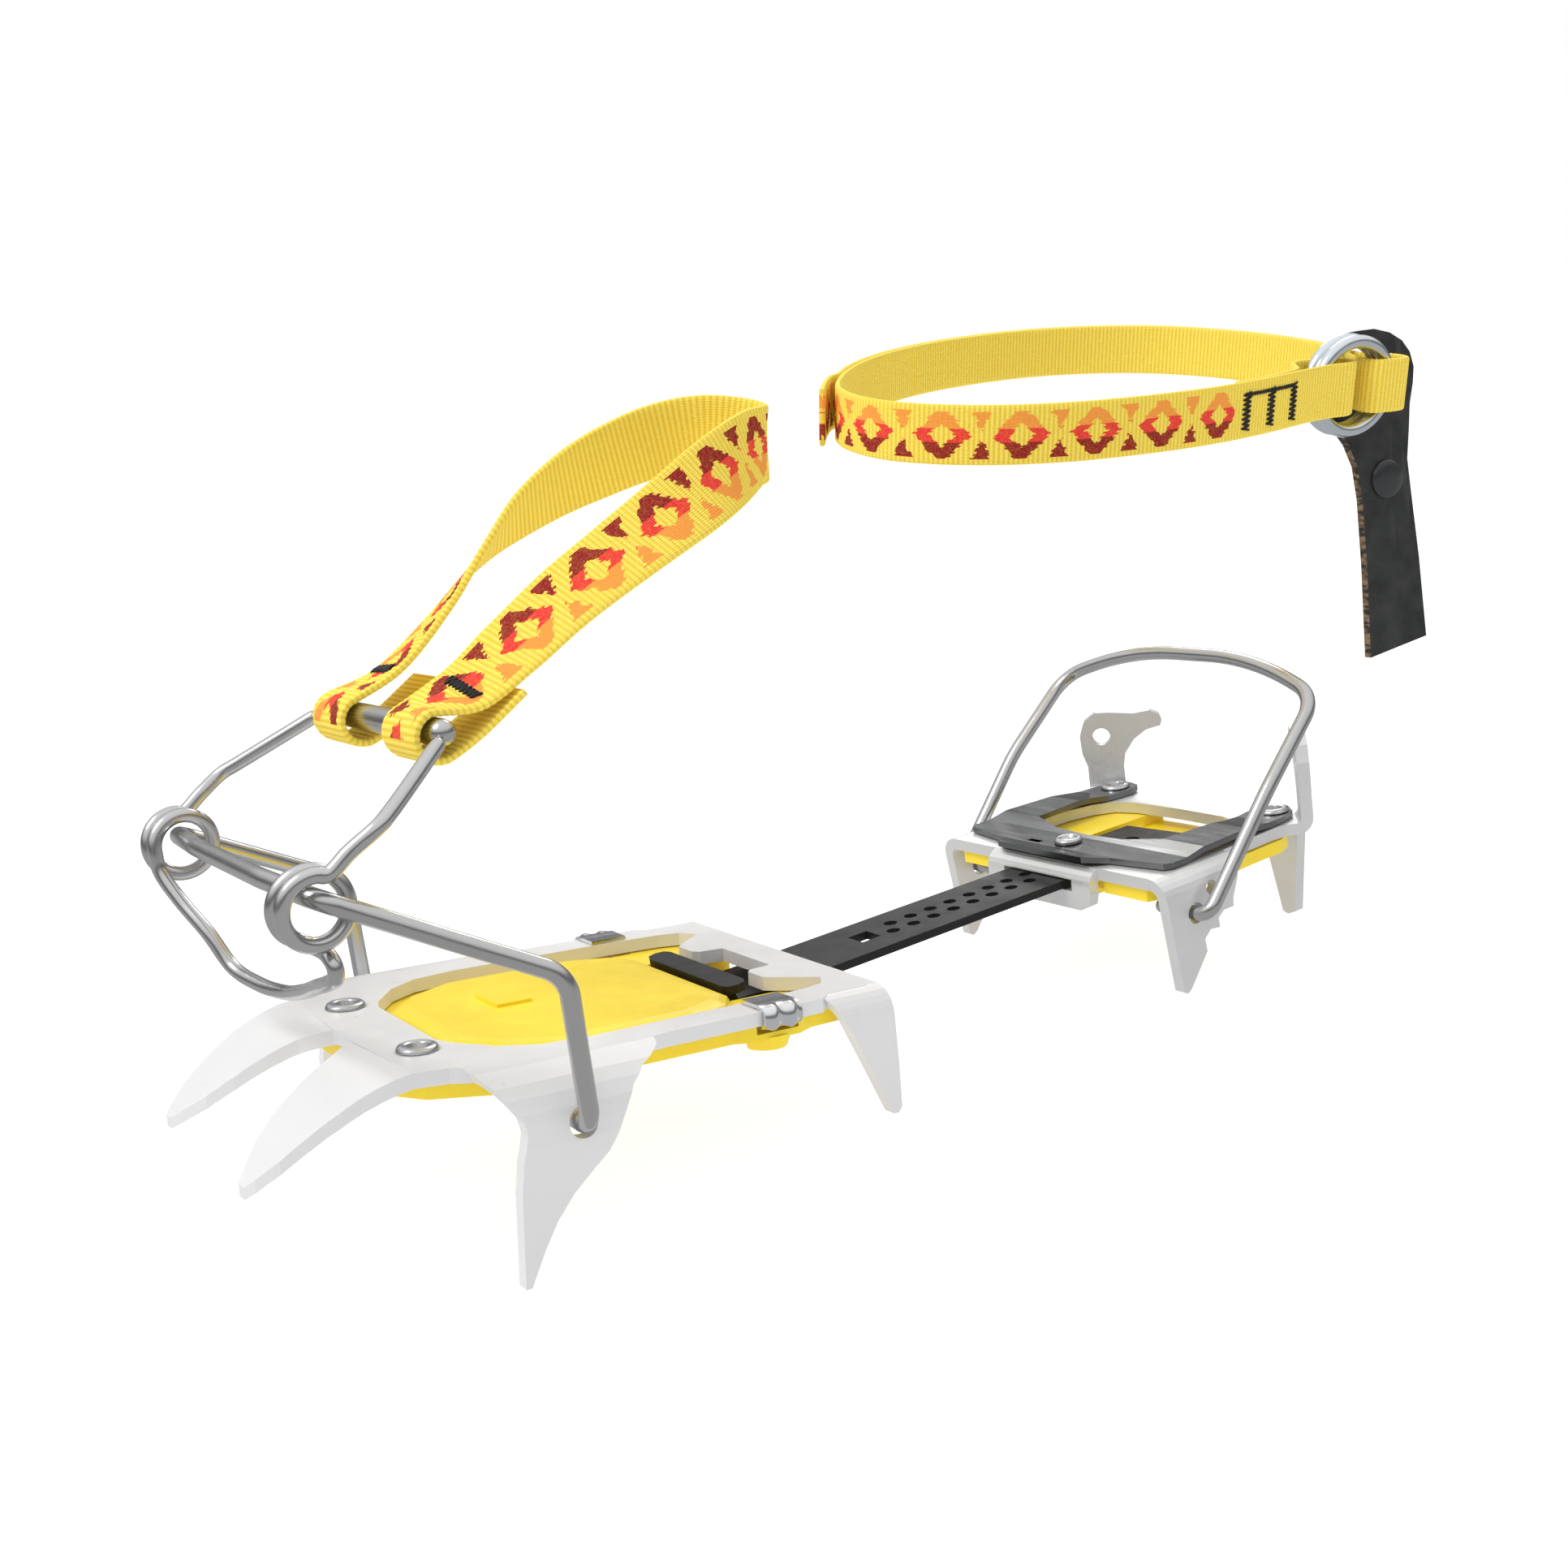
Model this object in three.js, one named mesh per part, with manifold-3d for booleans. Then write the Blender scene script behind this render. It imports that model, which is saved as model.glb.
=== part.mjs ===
// A strap-on crampon: a white front section with front points, a flat steel linking bar, a silver heel section,
// wire bails at toe and heel, a webbing toe strap, and a separate webbing ankle strap held above the heel.
// Millimetres, +Z up, +X from toe to heel, +Y to the left side of the boot.
import * as THREE from 'three';
import { mergeVertices } from 'three/addons/utils/BufferGeometryUtils.js';
import Module from 'manifold-3d';

const wasm = await Module();
wasm.setup();

// ---- Driving dimensions -------------------------------------------------------------------------------
const FRONT_PITCH = THREE.MathUtils.degToRad(6.3);   // front plate falls toward the heel
const HEEL_PITCH = THREE.MathUtils.degToRad(-1.6);   // bar and heel section rise toward the heel
const HEEL_ORIGIN = [182.7, 0, -7.1];                // front edge of the length spring's top face
const SHEET = 3;                                     // aluminium sheet of both plates
const GAP = 0.3;                                     // between pieces that touch
const SNUG = 0.1;                                    // between a fastener and what it holds
const RIVET_Y = 19.5;                                // front rivets, each side of the centre line
const RAIL_OUTER = 40.5;                             // half width of the front plate at its side rails
const TOE_WIRE = 3.8;                                // toe bail wire
const LEVER_WIRE = 3;                                // toe lever wire
const HEEL_WIRE = 3.6;                               // heel bail wire
const TOE_PIVOT = [17.8, -9.3];                      // x, z of the toe bail's holes
const TOE_CORNER = [-26, 37.5];                      // x, z of the toe bail's crossbar
const SLEEVE_AXIS = [4.8, 61.5];                     // x, z of the lever's upper crosspiece
const HEEL_PIVOT = [4.3, -12.2];                     // x, z of the heel bail's holes
const BAR_HALF = 10.4;                               // half width of the linking bar
const BAR_TOP = -5.2;                                // bar's top face in the heel section
const BAR_THICK = 2;
const HOLE_SIDES = 20;                               // facets round a drilled hole
const STRAP_WIDTH = 16.5;                             // toe strap webbing
const ANKLE_WIDTH = 15.2;                            // ankle strap webbing
const WEB_THICK = 1.5;
const ANKLE_CENTRE = [255, 55, 104.7];               // middle of the ankle strap's loop
const ANKLE_TILT = Math.atan(0.2);                   // its left side is carried higher

// ---- Materials ----------------------------------------------------------------------------------------
const paint = (name, color, roughness, metalness) =>
  Object.assign(new THREE.MeshStandardMaterial({ color, roughness, metalness }), { name });
const whiteCoat = paint('white_coat', 0xe9e9ea, 0.45, 0);
const silverAlloy = paint('silver_alloy', 0xc4c6ca, 0.38, 1);
const darkSpring = paint('dark_spring', 0x5c5d60, 0.32, 1);
const blackSteel = paint('black_steel', 0x1c1c1e, 0.5, 0.3);
const wireSteel = paint('wire_steel', 0xb4b6b9, 0.25, 1);
const chrome = paint('chrome', 0xdfe1e4, 0.12, 1);
const zinc = paint('zinc', 0xd3dbe2, 0.2, 1);
const yellowPlastic = paint('yellow_plastic', 0xffdf32, 0.42, 0);
const yellowWebbing = paint('yellow_webbing', 0xf7cf45, 0.8, 0);
const blackThread = paint('black_thread', 0x18181a, 0.7, 0);
const blackRubber = paint('black_rubber', 0x33363a, 0.6, 0);
const blackSnap = paint('black_snap', 0x232527, 0.3, 0.6);

// ---- Solids: three.js shapes, joined and cut ----------------------------------------------------------
function solid(geometry) {
  const bare = geometry.index ? geometry.toNonIndexed() : geometry.clone();
  bare.deleteAttribute('normal');
  bare.deleteAttribute('uv');
  const merged = mergeVertices(bare, 1e-4);
  return new wasm.Manifold(new wasm.Mesh({
    numProp: 3,
    vertProperties: new Float32Array(merged.attributes.position.array),
    triVerts: new Uint32Array(merged.index.array),
  }));
}

function surface(body) {
  const mesh = body.getMesh();
  const geometry = new THREE.BufferGeometry();
  geometry.setAttribute('position', new THREE.BufferAttribute(new Float32Array(mesh.vertProperties), 3));
  geometry.setIndex(new THREE.BufferAttribute(new Uint32Array(mesh.triVerts), 1));
  geometry.computeVertexNormals();
  return geometry;
}

const union = (bodies) => bodies.reduce((sum, body) => sum.add(body));
const cut = (body, tools) => tools.reduce((rest, tool) => rest.subtract(tool), body);
const outline = (points) => new THREE.Shape(points.map(([a, b]) => new THREE.Vector2(a, b)));
const mirrored = (points) => [...points, ...points.filter(([, y]) => y > 0).reverse().map(([x, y]) => [x, -y])];
const basis = (x, y, z) => new THREE.Matrix4().makeBasis(
  new THREE.Vector3(...x), new THREE.Vector3(...y), new THREE.Vector3(...z));
const ALONG_X = basis([0, 1, 0], [0, 0, 1], [1, 0, 0]);
const ALONG_Y = basis([1, 0, 0], [0, 0, 1], [0, -1, 0]);

// A top view outline, given thickness from z0 to z1.
function slab(points, z0, z1) {
  return new THREE.ExtrudeGeometry(outline(points), { depth: z1 - z0, bevelEnabled: false }).translate(0, 0, z0);
}

// A side view outline of (x, z) points, given width from y0 to y1.
function wide(points, y0, y1) {
  const geometry = new THREE.ExtrudeGeometry(outline(points), { depth: y1 - y0, bevelEnabled: false });
  return geometry.applyMatrix4(ALONG_Y).translate(0, y1, 0);
}

// A front view outline of (y, z) points, given length from x0 to x1.
function long(points, x0, x1) {
  const geometry = new THREE.ExtrudeGeometry(outline(points), { depth: x1 - x0, bevelEnabled: false });
  return geometry.applyMatrix4(ALONG_X).translate(x0, 0, 0);
}

function arc(cx, cy, radius, from, to, steps) {
  return Array.from({ length: steps + 1 }, (_, i) => {
    const angle = THREE.MathUtils.degToRad(from + (to - from) * i / steps);
    return [cx + radius * Math.cos(angle), cy + radius * Math.sin(angle)];
  });
}

const box = (x0, x1, y0, y1, z0, z1) =>
  new THREE.BoxGeometry(x1 - x0, y1 - y0, z1 - z0).translate((x0 + x1) / 2, (y0 + y1) / 2, (z0 + z1) / 2);
const drillZ = (x, y, radius, sides = HOLE_SIDES) =>
  new THREE.CylinderGeometry(radius, radius, 40, sides).rotateX(Math.PI / 2).translate(x, y, 0);
const drillY = (x, z, radius) => new THREE.CylinderGeometry(radius, radius, 200, HOLE_SIDES).translate(x, 0, z);

// Sheet that runs flat from yIn, turns down through a bend of outer radius bend, and ends at zLow.
function downBend(side, yIn, yOut, bend, zTop, zLow, thick) {
  const points = [
    [yIn, zTop], ...arc(yOut - bend, zTop - bend, bend, 90, 0, 6), [yOut, zLow],
    [yOut - thick, zLow], ...arc(yOut - bend, zTop - bend, bend - thick, 0, 90, 5), [yIn, zTop - thick],
  ];
  return points.map(([y, z]) => [side * y, z]);
}

// ---- Wires --------------------------------------------------------------------------------------------
// A route of straight runs with round bends: each corner is [x, y, z] and an optional bend radius.
function bentRoute(corners, radius, steps = 5) {
  const at = corners.map((c) => new THREE.Vector3(c[0], c[1], c[2]));
  const route = [at[0]];
  for (let i = 1; i < at.length - 1; i += 1) {
    const back = at[i - 1].clone().sub(at[i]).normalize();
    const ahead = at[i + 1].clone().sub(at[i]).normalize();
    const half = back.angleTo(ahead) / 2;
    const bend = corners[i][3] ?? radius;
    const reach = bend / Math.tan(half);
    const axis = back.clone().add(ahead).normalize();
    const centre = at[i].clone().addScaledVector(axis, bend / Math.sin(half));
    const first = at[i].clone().addScaledVector(back, reach).sub(centre);
    const turn = new THREE.Vector3().crossVectors(back, ahead).normalize().negate();
    for (let k = 0; k <= steps; k += 1) {
      route.push(first.clone().applyAxisAngle(turn, (Math.PI - 2 * half) * k / steps).add(centre));
    }
  }
  return [...route, at[at.length - 1]];
}

// A curve that stops exactly at each point of its route, so that a sweep has one section at each.
class Route extends THREE.Curve {
  constructor(points) {
    super();
    this.points = points;
  }

  getUtoTmapping(u) {
    return u;
  }

  getPoint(t) {
    const place = Math.min(Math.max(t, 0), 1) * (this.points.length - 1);
    const index = Math.min(Math.floor(place), this.points.length - 2);
    return this.points[index].clone().lerp(this.points[index + 1], place - index);
  }

  getTangent(t) {
    const place = t * (this.points.length - 1);
    const before = this.points[Math.max(Math.ceil(place - 1 - 1e-6), 0)];
    const after = this.points[Math.min(Math.floor(place + 1 + 1e-6), this.points.length - 1)];
    return after.clone().sub(before).normalize();
  }
}

function wire(points, diameter, sides = 8) {
  const section = outline(arc(0, 0, diameter / 2, 0, 360, sides).slice(0, -1));
  const path = new Route(points);
  return new THREE.ExtrudeGeometry(section, { extrudePath: path, steps: points.length - 1, bevelEnabled: false });
}

// ---- Webbing ------------------------------------------------------------------------------------------
// A flat strip along places, each with the direction of the strip's width.
function strip(places, across, width, thick) {
  const rows = places.map((place, i) => {
    const before = places[Math.max(i - 1, 0)];
    const after = places[Math.min(i + 1, places.length - 1)];
    const ahead = after.clone().sub(before).normalize();
    const side = across[i].clone().addScaledVector(ahead, -across[i].dot(ahead)).normalize();
    const face = new THREE.Vector3().crossVectors(ahead, side);
    return [[-1, -1], [1, -1], [1, 1], [-1, 1]].map(([a, b]) => place.clone()
      .addScaledVector(side, a * width / 2).addScaledVector(face, b * thick / 2));
  });
  const geometry = new THREE.BufferGeometry().setFromPoints(rows.flat());
  const index = [0, 2, 1, 0, 3, 2];
  for (let i = 0; i < rows.length - 1; i += 1) {
    for (let k = 0; k < 4; k += 1) {
      const [a, b] = [4 * i + k, 4 * i + (k + 1) % 4];
      index.push(a, b, b + 4, a, b + 4, a + 4);
    }
  }
  const last = 4 * (rows.length - 1);
  index.push(last, last + 1, last + 2, last, last + 2, last + 3);
  geometry.setIndex(index);
  geometry.computeVertexNormals();
  return geometry;
}

// ---- Front section ------------------------------------------------------------------------------------
const POINT_TIP = 1.7;                               // forged thickness of the front points at their tips
const POINT_DROP = 16.3;                             // front points' tips under the plate
const SPIKE_OUTER = 53.5;                            // outer face of the big side spikes
const REAR_SPIKE_OUTER = 43;                         // outer face of the rear spikes
const frontOpening = mirrored([
  [5.5, 0], [5.5, 15], [7, 19], [13, 27], [20, 31.5], [30, 33], [66, 32.5], [82, 31.5], [87, 30], [89.5, 26],
  [81.5, 19.5], [80, 18], [80, 12], [81.5, 10.6], [87, 10], [87, 0],
]);
const frontDrop = (x) => (x > -6 ? 0 : -POINT_DROP * ((-6 - x) / 30) ** 1.7);

function frontPoint(side) {
  const plan = [
    [-5, 3], [-9, 5.5], [-14, 8.5], [-20, 10.6], [-26, 13], [-31, 16], [-35, 20.4], [-36.6, 22.6],
    [-36.6, 25.4], [-35, 27.2], [-31, 29.8], [-26, 31.3], [-20, 32.5], [-12, 33], [-5, 33],
  ].map(([x, y]) => [x, side * y]);
  const stations = Array.from({ length: 13 }, (_, i) => 4 - i * 3.5);
  const upper = stations.map((x) => [x, frontDrop(x)]);
  const lower = stations.map((x) => {
    const slope = frontDrop(x + 0.5) - frontDrop(x - 0.5);
    const length = Math.hypot(1, slope);
    const thick = Math.min(SHEET, THREE.MathUtils.mapLinear(x, -12, -38, SHEET, POINT_TIP));
    return [x + thick * slope / length, frontDrop(x) - thick / length];
  });
  return solid(slab(plan, -40, 10)).intersect(solid(wide([...upper, ...lower.reverse()], -60, 60)));
}

function sideSpike(side) {
  const profile = [
    [1, 1], [3, -1.5], [6.4, -7], [6.6, -9.5], [5.4, -14], [4.7, -20], [4.4, -37.7], [5.6, -37.7], [8.5, -31.5],
    [11.4, -26.4], [15, -22], [19.4, -18.2], [22.6, -15.6], [24.4, -13], [26.6, -9], [29.4, -5], [33, -2.4], [40, 0.2],
    [42, 1],
  ];
  const bend = downBend(side, 20, SPIKE_OUTER, 12, 0, -45, SHEET);
  return solid(wide(profile, -60, 60)).intersect(solid(long(bend, -10, 60)));
}

function rearSpike(side) {
  const profile = [
    [80, 1], [82.5, -2.6], [85, -7], [90, -16.5], [95.6, -27.4], [97, -27.6], [98, -26.4], [97.4, -16],
    [96.4, -4], [96, 1],
  ];
  const bend = downBend(side, 20, REAR_SPIKE_OUTER, 5.5, 0, -40, SHEET);
  return solid(wide(profile, -60, 60)).intersect(solid(long(bend, 70, 110)));
}

function frontPlate() {
  const plan = mirrored([
    [-7, 0], [-7.4, 3], [-8, 5], [-6, 33], [0, 34.5], [4, 37], [6, 41.2], [38, 41.2], [43, RAIL_OUTER],
    [80, RAIL_OUTER], [83, 38], [93, 38], [96, 36],
  ]);
  const body = union([
    solid(slab(plan, -SHEET, 0)), ...[1, -1].flatMap((side) => [frontPoint(side), sideSpike(side), rearSpike(side)]),
  ]);
  return cut(body, [
    solid(slab(frontOpening, -10, 10)), solid(drillY(TOE_PIVOT[0], TOE_PIVOT[1], TOE_WIRE / 2 + 1)),
    ...[1, -1].map((side) => solid(drillZ(0, side * RIVET_Y, 2.6))),
  ]);
}

// The moulded plate under the front plate: a tray that swells up into the opening, with a channel for the bar.
const CLIP_X = [65, 74];
function frontAntiball() {
  const rim = mirrored([
    [-7, 0], [-7, 24], [-3, 30], [8, 35.5], [20, 37], [38, 37.4], [60, 37.4], [64, 39.4], [75, 39.4], [79, 37.4],
    [93, 36.6], [94.5, 34],
  ]);
  const hollow = mirrored([[-4, 0], [-4, 22], [9, 33], [20, 34.6], [66, 34.8], [68, 34]]);
  const swell = mirrored([[8, 0], [8, 15], [16, 25], [26, 30], [56, 30], [66, 26], [70, 20]]);
  const channel = mirrored([[70, 0], [70, 22], [94.5, 22]]);
  const body = union([
    solid(slab(rim, -6.6, -SHEET - GAP)), solid(slab(channel, -10.4, -5)), solid(box(26, 34, 1, 12, -3, -0.3)),
    solid(new THREE.ExtrudeGeometry(outline(swell), {
      depth: 0.4, bevelEnabled: true, bevelThickness: 1.8, bevelSize: 4, bevelOffset: -4, bevelSegments: 3,
    }).translate(0, 0, -3.2)),
    ...[1, -1].map((side) => solid(new THREE.CylinderGeometry(5.6, 4.6, 3, 16).rotateX(Math.PI / 2)
      .translate(69.5, side * 34.4, -7.6))),
  ]);
  const clipPocket = (side) => solid(box(CLIP_X[0] - 0.6, CLIP_X[1] + 0.6,
    Math.min(side * 31.4, side * 44), Math.max(side * 31.4, side * 44), -5.1, 0));
  return cut(body, [
    solid(slab(hollow, -12, -5.1)), solid(box(70.4, 100, -19.4, 19.4, -8.7, 5)),
    clipPocket(1), clipPocket(-1), ...[1, -1].map((side) => solid(drillZ(0, side * RIVET_Y, 2.6))),
  ]);
}

// A hollow rivet through a stack whose faces are at z = top and z = bottom; its foot may be narrower than its head.
function rivet(x, y, top, bottom, headRadius, shankRadius, footRadius = headRadius, headHeight = 1.1) {
  const profile = [
    [0, bottom - SNUG - headHeight], [footRadius, bottom - SNUG - headHeight * 0.8], [footRadius, bottom - SNUG],
    [shankRadius, bottom - SNUG], [shankRadius, top + SNUG], [headRadius, top + SNUG],
    [headRadius * 0.72, top + SNUG + headHeight], [headRadius * 0.42, top + SNUG + headHeight], [0, top + SNUG - 0.3],
  ].map(([r, z]) => new THREE.Vector2(r, z));
  return new THREE.LatheGeometry(profile, 12).rotateX(Math.PI / 2).translate(x, y, 0);
}

// A spring clip folded from thin sheet round the side rail.
function sideClip(side) {
  const thick = 0.8;
  const outerTop = SNUG + thick;
  const under = -SHEET - SNUG;
  const section = [
    [32.6, SNUG], [32.6, outerTop], [40.4, outerTop], [41.8, 0.2], [42, -1.6], [41.7, -3.4], [40.4, under - thick],
    [34.4, under - thick], [34.4, under], [40.2, under], [41, -2.9], [41.2, -1.6], [41, -0.1], [40.2, SNUG],
  ].map(([y, z]) => [side * y, z]);
  return surface(solid(long(section, CLIP_X[0], CLIP_X[1])));
}

// ---- Toe bail and lever -------------------------------------------------------------------------------
const LEG_Y = 56;                                    // bail legs, outside the side spikes
const COIL_Y = 39.9;                                 // middle of the lever's coils
const COIL_RADIUS = 6.3;                             // to the middle of the coil's wire
const COIL_CENTRE = [TOE_CORNER[0] + 0.9, TOE_CORNER[1] - 2.4];

function toeBail() {
  const half = [
    [TOE_PIVOT[0], 48, TOE_PIVOT[1]], [TOE_PIVOT[0], LEG_Y, TOE_PIVOT[1], 3.6], [14.5, LEG_Y, 19.5, 7],
    [TOE_CORNER[0] + 0.5, 42.8, TOE_CORNER[1] - 0.4, 6],
  ];
  const other = half.map(([x, y, z, r]) => [x, -y, z, r]).reverse();
  const crossbar = [20, -20].map((y) => [TOE_CORNER[0] - 1.4, y, TOE_CORNER[1], 60]);
  return wire(bentRoute([...half, ...crossbar, ...other], 6), TOE_WIRE);
}

// The lever's lower crosspiece: one end kinks out below its coil, the other rises to the front of its coil.
// Each start is the angle in degrees at which the crosspiece becomes the coil.
const KINKED_END = {
  start: -112,
  points: [[-19.4, 14, 13.8], [-21, 28, 18], [-21.8, 36, 20.4], [-22, 40.6, 22.4], [-22.2, 40.8, 24.4],
    [-23, 38.4, 26.6]],
};
const RISING_END = {
  start: -172,
  points: [[-19.8, 12, 10], [-22, 21.6, 12], [-25, 26.4, 18.6], [-28.4, 33, 25], [-30.8, 37, 30.6]],
};
const COIL_FINISH = -645.6;                          // degrees at which the coil becomes the arm

// Half of the lever, from the middle of the lower crosspiece up to the end of the arm.
function leverHalf(side) {
  const { start, points } = side > 0 ? RISING_END : KINKED_END;
  const lower = [[-18.6, 0, 10.6], ...points].map(([x, y, z]) => new THREE.Vector3(x, side * y, z));
  const coil = Array.from({ length: 18 }, (_, i) => {
    const part = i / 17;
    const angle = THREE.MathUtils.degToRad(start + (COIL_FINISH - start) * part);
    return new THREE.Vector3(COIL_CENTRE[0] + COIL_RADIUS * Math.cos(angle),
      side * (COIL_Y - 2.4 + 6.6 * part), COIL_CENTRE[1] + COIL_RADIUS * Math.sin(angle));
  });
  const arm = [[-19.4, 44.4, 44.6], [-14.4, 45.2, 48.4], [-11.6, 43.6, 50.2], [2.6, 33, 60]]
    .map(([x, y, z]) => new THREE.Vector3(x, side * y, z));
  return [...lower, ...coil, ...arm];
}

function toeLever() {
  const left = leverHalf(1).reverse();
  const right = leverHalf(-1).slice(1);
  return wire([...left, ...right], LEVER_WIRE);
}

// The steel sleeve on the lever's upper end, which carries the strap: a thick tube closed onto the arm ends.
function leverSleeve() {
  const [x, z] = SLEEVE_AXIS;
  return new THREE.CylinderGeometry(2.7, 2.7, 62, 14).translate(x, 0, z);
}

// ---- Toe strap ----------------------------------------------------------------------------------------
// Stations along each side of the loop: x, y, z of the webbing's middle, and how far it has turned on edge.
const LEFT_BAND = [
  [13, 17.4, 69.4, 6], [25, 18, 80, 16], [36, 18, 92.2, 32], [45, 18.4, 100, 48], [56, 19, 106.6, 60],
  [66, 18.6, 111.2, 69], [78, 16.6, 115.6, 76], [88, 12, 117.4, 82], [95, 6, 116.4, 86],
];
const RIGHT_BAND = [
  [13.4, -20.8, 68, 22], [24, -20.4, 75.4, 34], [36, -20.6, 84.4, 40], [50, -20.6, 93.2, 46], [65, -18.8, 101.8, 56],
  [78, -14, 108.6, 68], [89, -7, 113, 80],
];
const FOLD_RADIUS = 4.6;                             // of the webbing's middle round the sleeve
const TAIL_SHIFT = [17.6, 6];                        // x, z from the sleeve to the end of each tail

function toeStrap() {
  const [x, z] = SLEEVE_AXIS;
  const fold = (y) => [
    [x + TAIL_SHIFT[0], y, z + TAIL_SHIFT[1], 0], [x + 8, y, z - 1.4, 0],
    ...arc(x, z - 0.8, FOLD_RADIUS, 300, 110, 8).map(([a, b]) => [a, y, b, 0]),
  ];
  const left = [...fold(LEFT_BAND[0][1]), ...LEFT_BAND];
  const right = [...fold(-21), ...RIGHT_BAND].reverse();
  const stops = [...left, [96.6, 0, 114.6, 90], ...right];
  const places = stops.map(([a, b, c]) => new THREE.Vector3(a, b, c));
  const across = stops.map(([, , , turn], i) => {
    const angle = THREE.MathUtils.degToRad(turn);
    return new THREE.Vector3(0, (i < left.length ? 1 : -1) * Math.cos(angle), -Math.sin(angle));
  });
  return strip(places, across, STRAP_WIDTH, WEB_THICK);
}

// A dense band of thread sewn across the toe strap where its end is folded back.
function strapTack(side) {
  const band = side > 0 ? LEFT_BAND : RIGHT_BAND;
  const [from, to] = band.slice(0, 2).map(([x, y, z]) => new THREE.Vector3(x, y, z));
  const slope = Math.atan2(to.z - from.z, to.x - from.x);
  const turn = THREE.MathUtils.degToRad(band[0][3]) * side;
  const lift = new THREE.Vector3(0, 0, WEB_THICK / 2 + 0.75).applyAxisAngle(new THREE.Vector3(1, 0, 0), -turn)
    .applyAxisAngle(new THREE.Vector3(0, 1, 0), -slope);
  return new THREE.BoxGeometry(2.2, 10, 0.7).rotateX(-turn).rotateY(-slope)
    .translate(from.x + lift.x + 0.6, from.y + lift.y, from.z + lift.z + 0.3);
}

// ---- Linking bar --------------------------------------------------------------------------------------
const BAR_FRONT = -105;                              // where the bar turns up into its hook
const BAR_REAR = 35.7;
const BAR_SLANT = 1.8;                               // how far one corner of the bar's end is cut back
const HOLE_PITCH = 6.2;
function linkingBar() {
  const low = BAR_TOP - BAR_THICK;
  const profile = [
    [BAR_FRONT, BAR_TOP], [BAR_REAR, BAR_TOP], [BAR_REAR, low], [BAR_FRONT + 0.6, low], [-112.4, -0.4],
    [-112.4, 1.6], [-106.8, 1.6], [-106.8, -0.2],
  ];
  const neck = [
    [-108.9, -9], [-102, -9], [-98, -BAR_HALF], [BAR_REAR, -BAR_HALF], [BAR_REAR - BAR_SLANT, BAR_HALF],
    [-98, BAR_HALF], [-102, 9], [-108.9, 9],
  ];
  const hammer = mirrored([
    [-112.4, 0], [-112.4, 15.6], [-111.6, 17.4], [-109.6, 18], [-107.6, 17.4], [-106.8, 15.6],
  ]);
  const body = solid(wide(profile, -30, 30)).intersect(solid(slab(neck, -20, 20))
    .add(solid(slab(hammer, -0.3, 20))));
  const holes = Array.from({ length: 9 }, (_, i) => [1, -1].map((side) =>
    solid(drillZ(-55 + HOLE_PITCH * i + side * HOLE_PITCH / 4, side * 2.6, 1.7, 10)))).flat();
  const rearHoles = [19.7, 25.3].map((x) => solid(drillZ(x, 0, 1.9)));
  return cut(body, [solid(box(-66, -60.5, -3, 3, -20, 0)), ...holes, ...rearHoles]);
}

// ---- Heel section (its own frame: z = 0 is the top of the length spring) --------------------------------
const SPRING_THICK = 1.5;
const HEEL_TOP = -SPRING_THICK - GAP;
const HEEL_RIVET = [47.8, 28.4];
const heelOpening = mirrored([
  [9, 0], [9, 20], [12, 25], [18, 27.4], [28, 27.6], [36, 25.6], [41, 22], [43, 16], [43.6, 0],
]);

function heelSpike(side) {
  const profile = [
    [-5, 1], [-5.2, -2.4], [-4.4, -10], [-2.2, -30.4], [-1, -31], [0.4, -30.2], [6.8, -22.6], [6.4, -19.4],
    [8.6, -17.6], [11.8, -18], [11.6, -15.6], [13.6, -14.2], [17, -14.2], [17.2, -12], [19, -8], [20.6, -3.6], [21, 1],
  ];
  const bend = downBend(side, 20, 41.4, 5.4, HEEL_TOP, -40, SHEET);
  return solid(wide(profile, -60, 60)).intersect(solid(long(bend, -20, 40)));
}

// The rear spikes turn down from the plate's rear edge.
function rearHeelSpike(side) {
  const face = [[21, 2], [22, -8], [26.4, -28], [28, -28.6], [30.4, -27.6], [33.6, -5], [34.4, 2]]
    .map(([y, z]) => [side * y, z]);
  const bend = [
    [40, HEEL_TOP], ...arc(53.6 - 4.6, HEEL_TOP - 4.6, 4.6, 90, 0, 5), [53.6, -40], [53.6 - SHEET, -40],
    ...arc(53.6 - 4.6, HEEL_TOP - 4.6, 4.6 - SHEET, 0, 90, 4), [40, HEEL_TOP - SHEET],
  ];
  return solid(long(face, 30, 70)).intersect(solid(wide(bend, -60, 60)));
}

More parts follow.
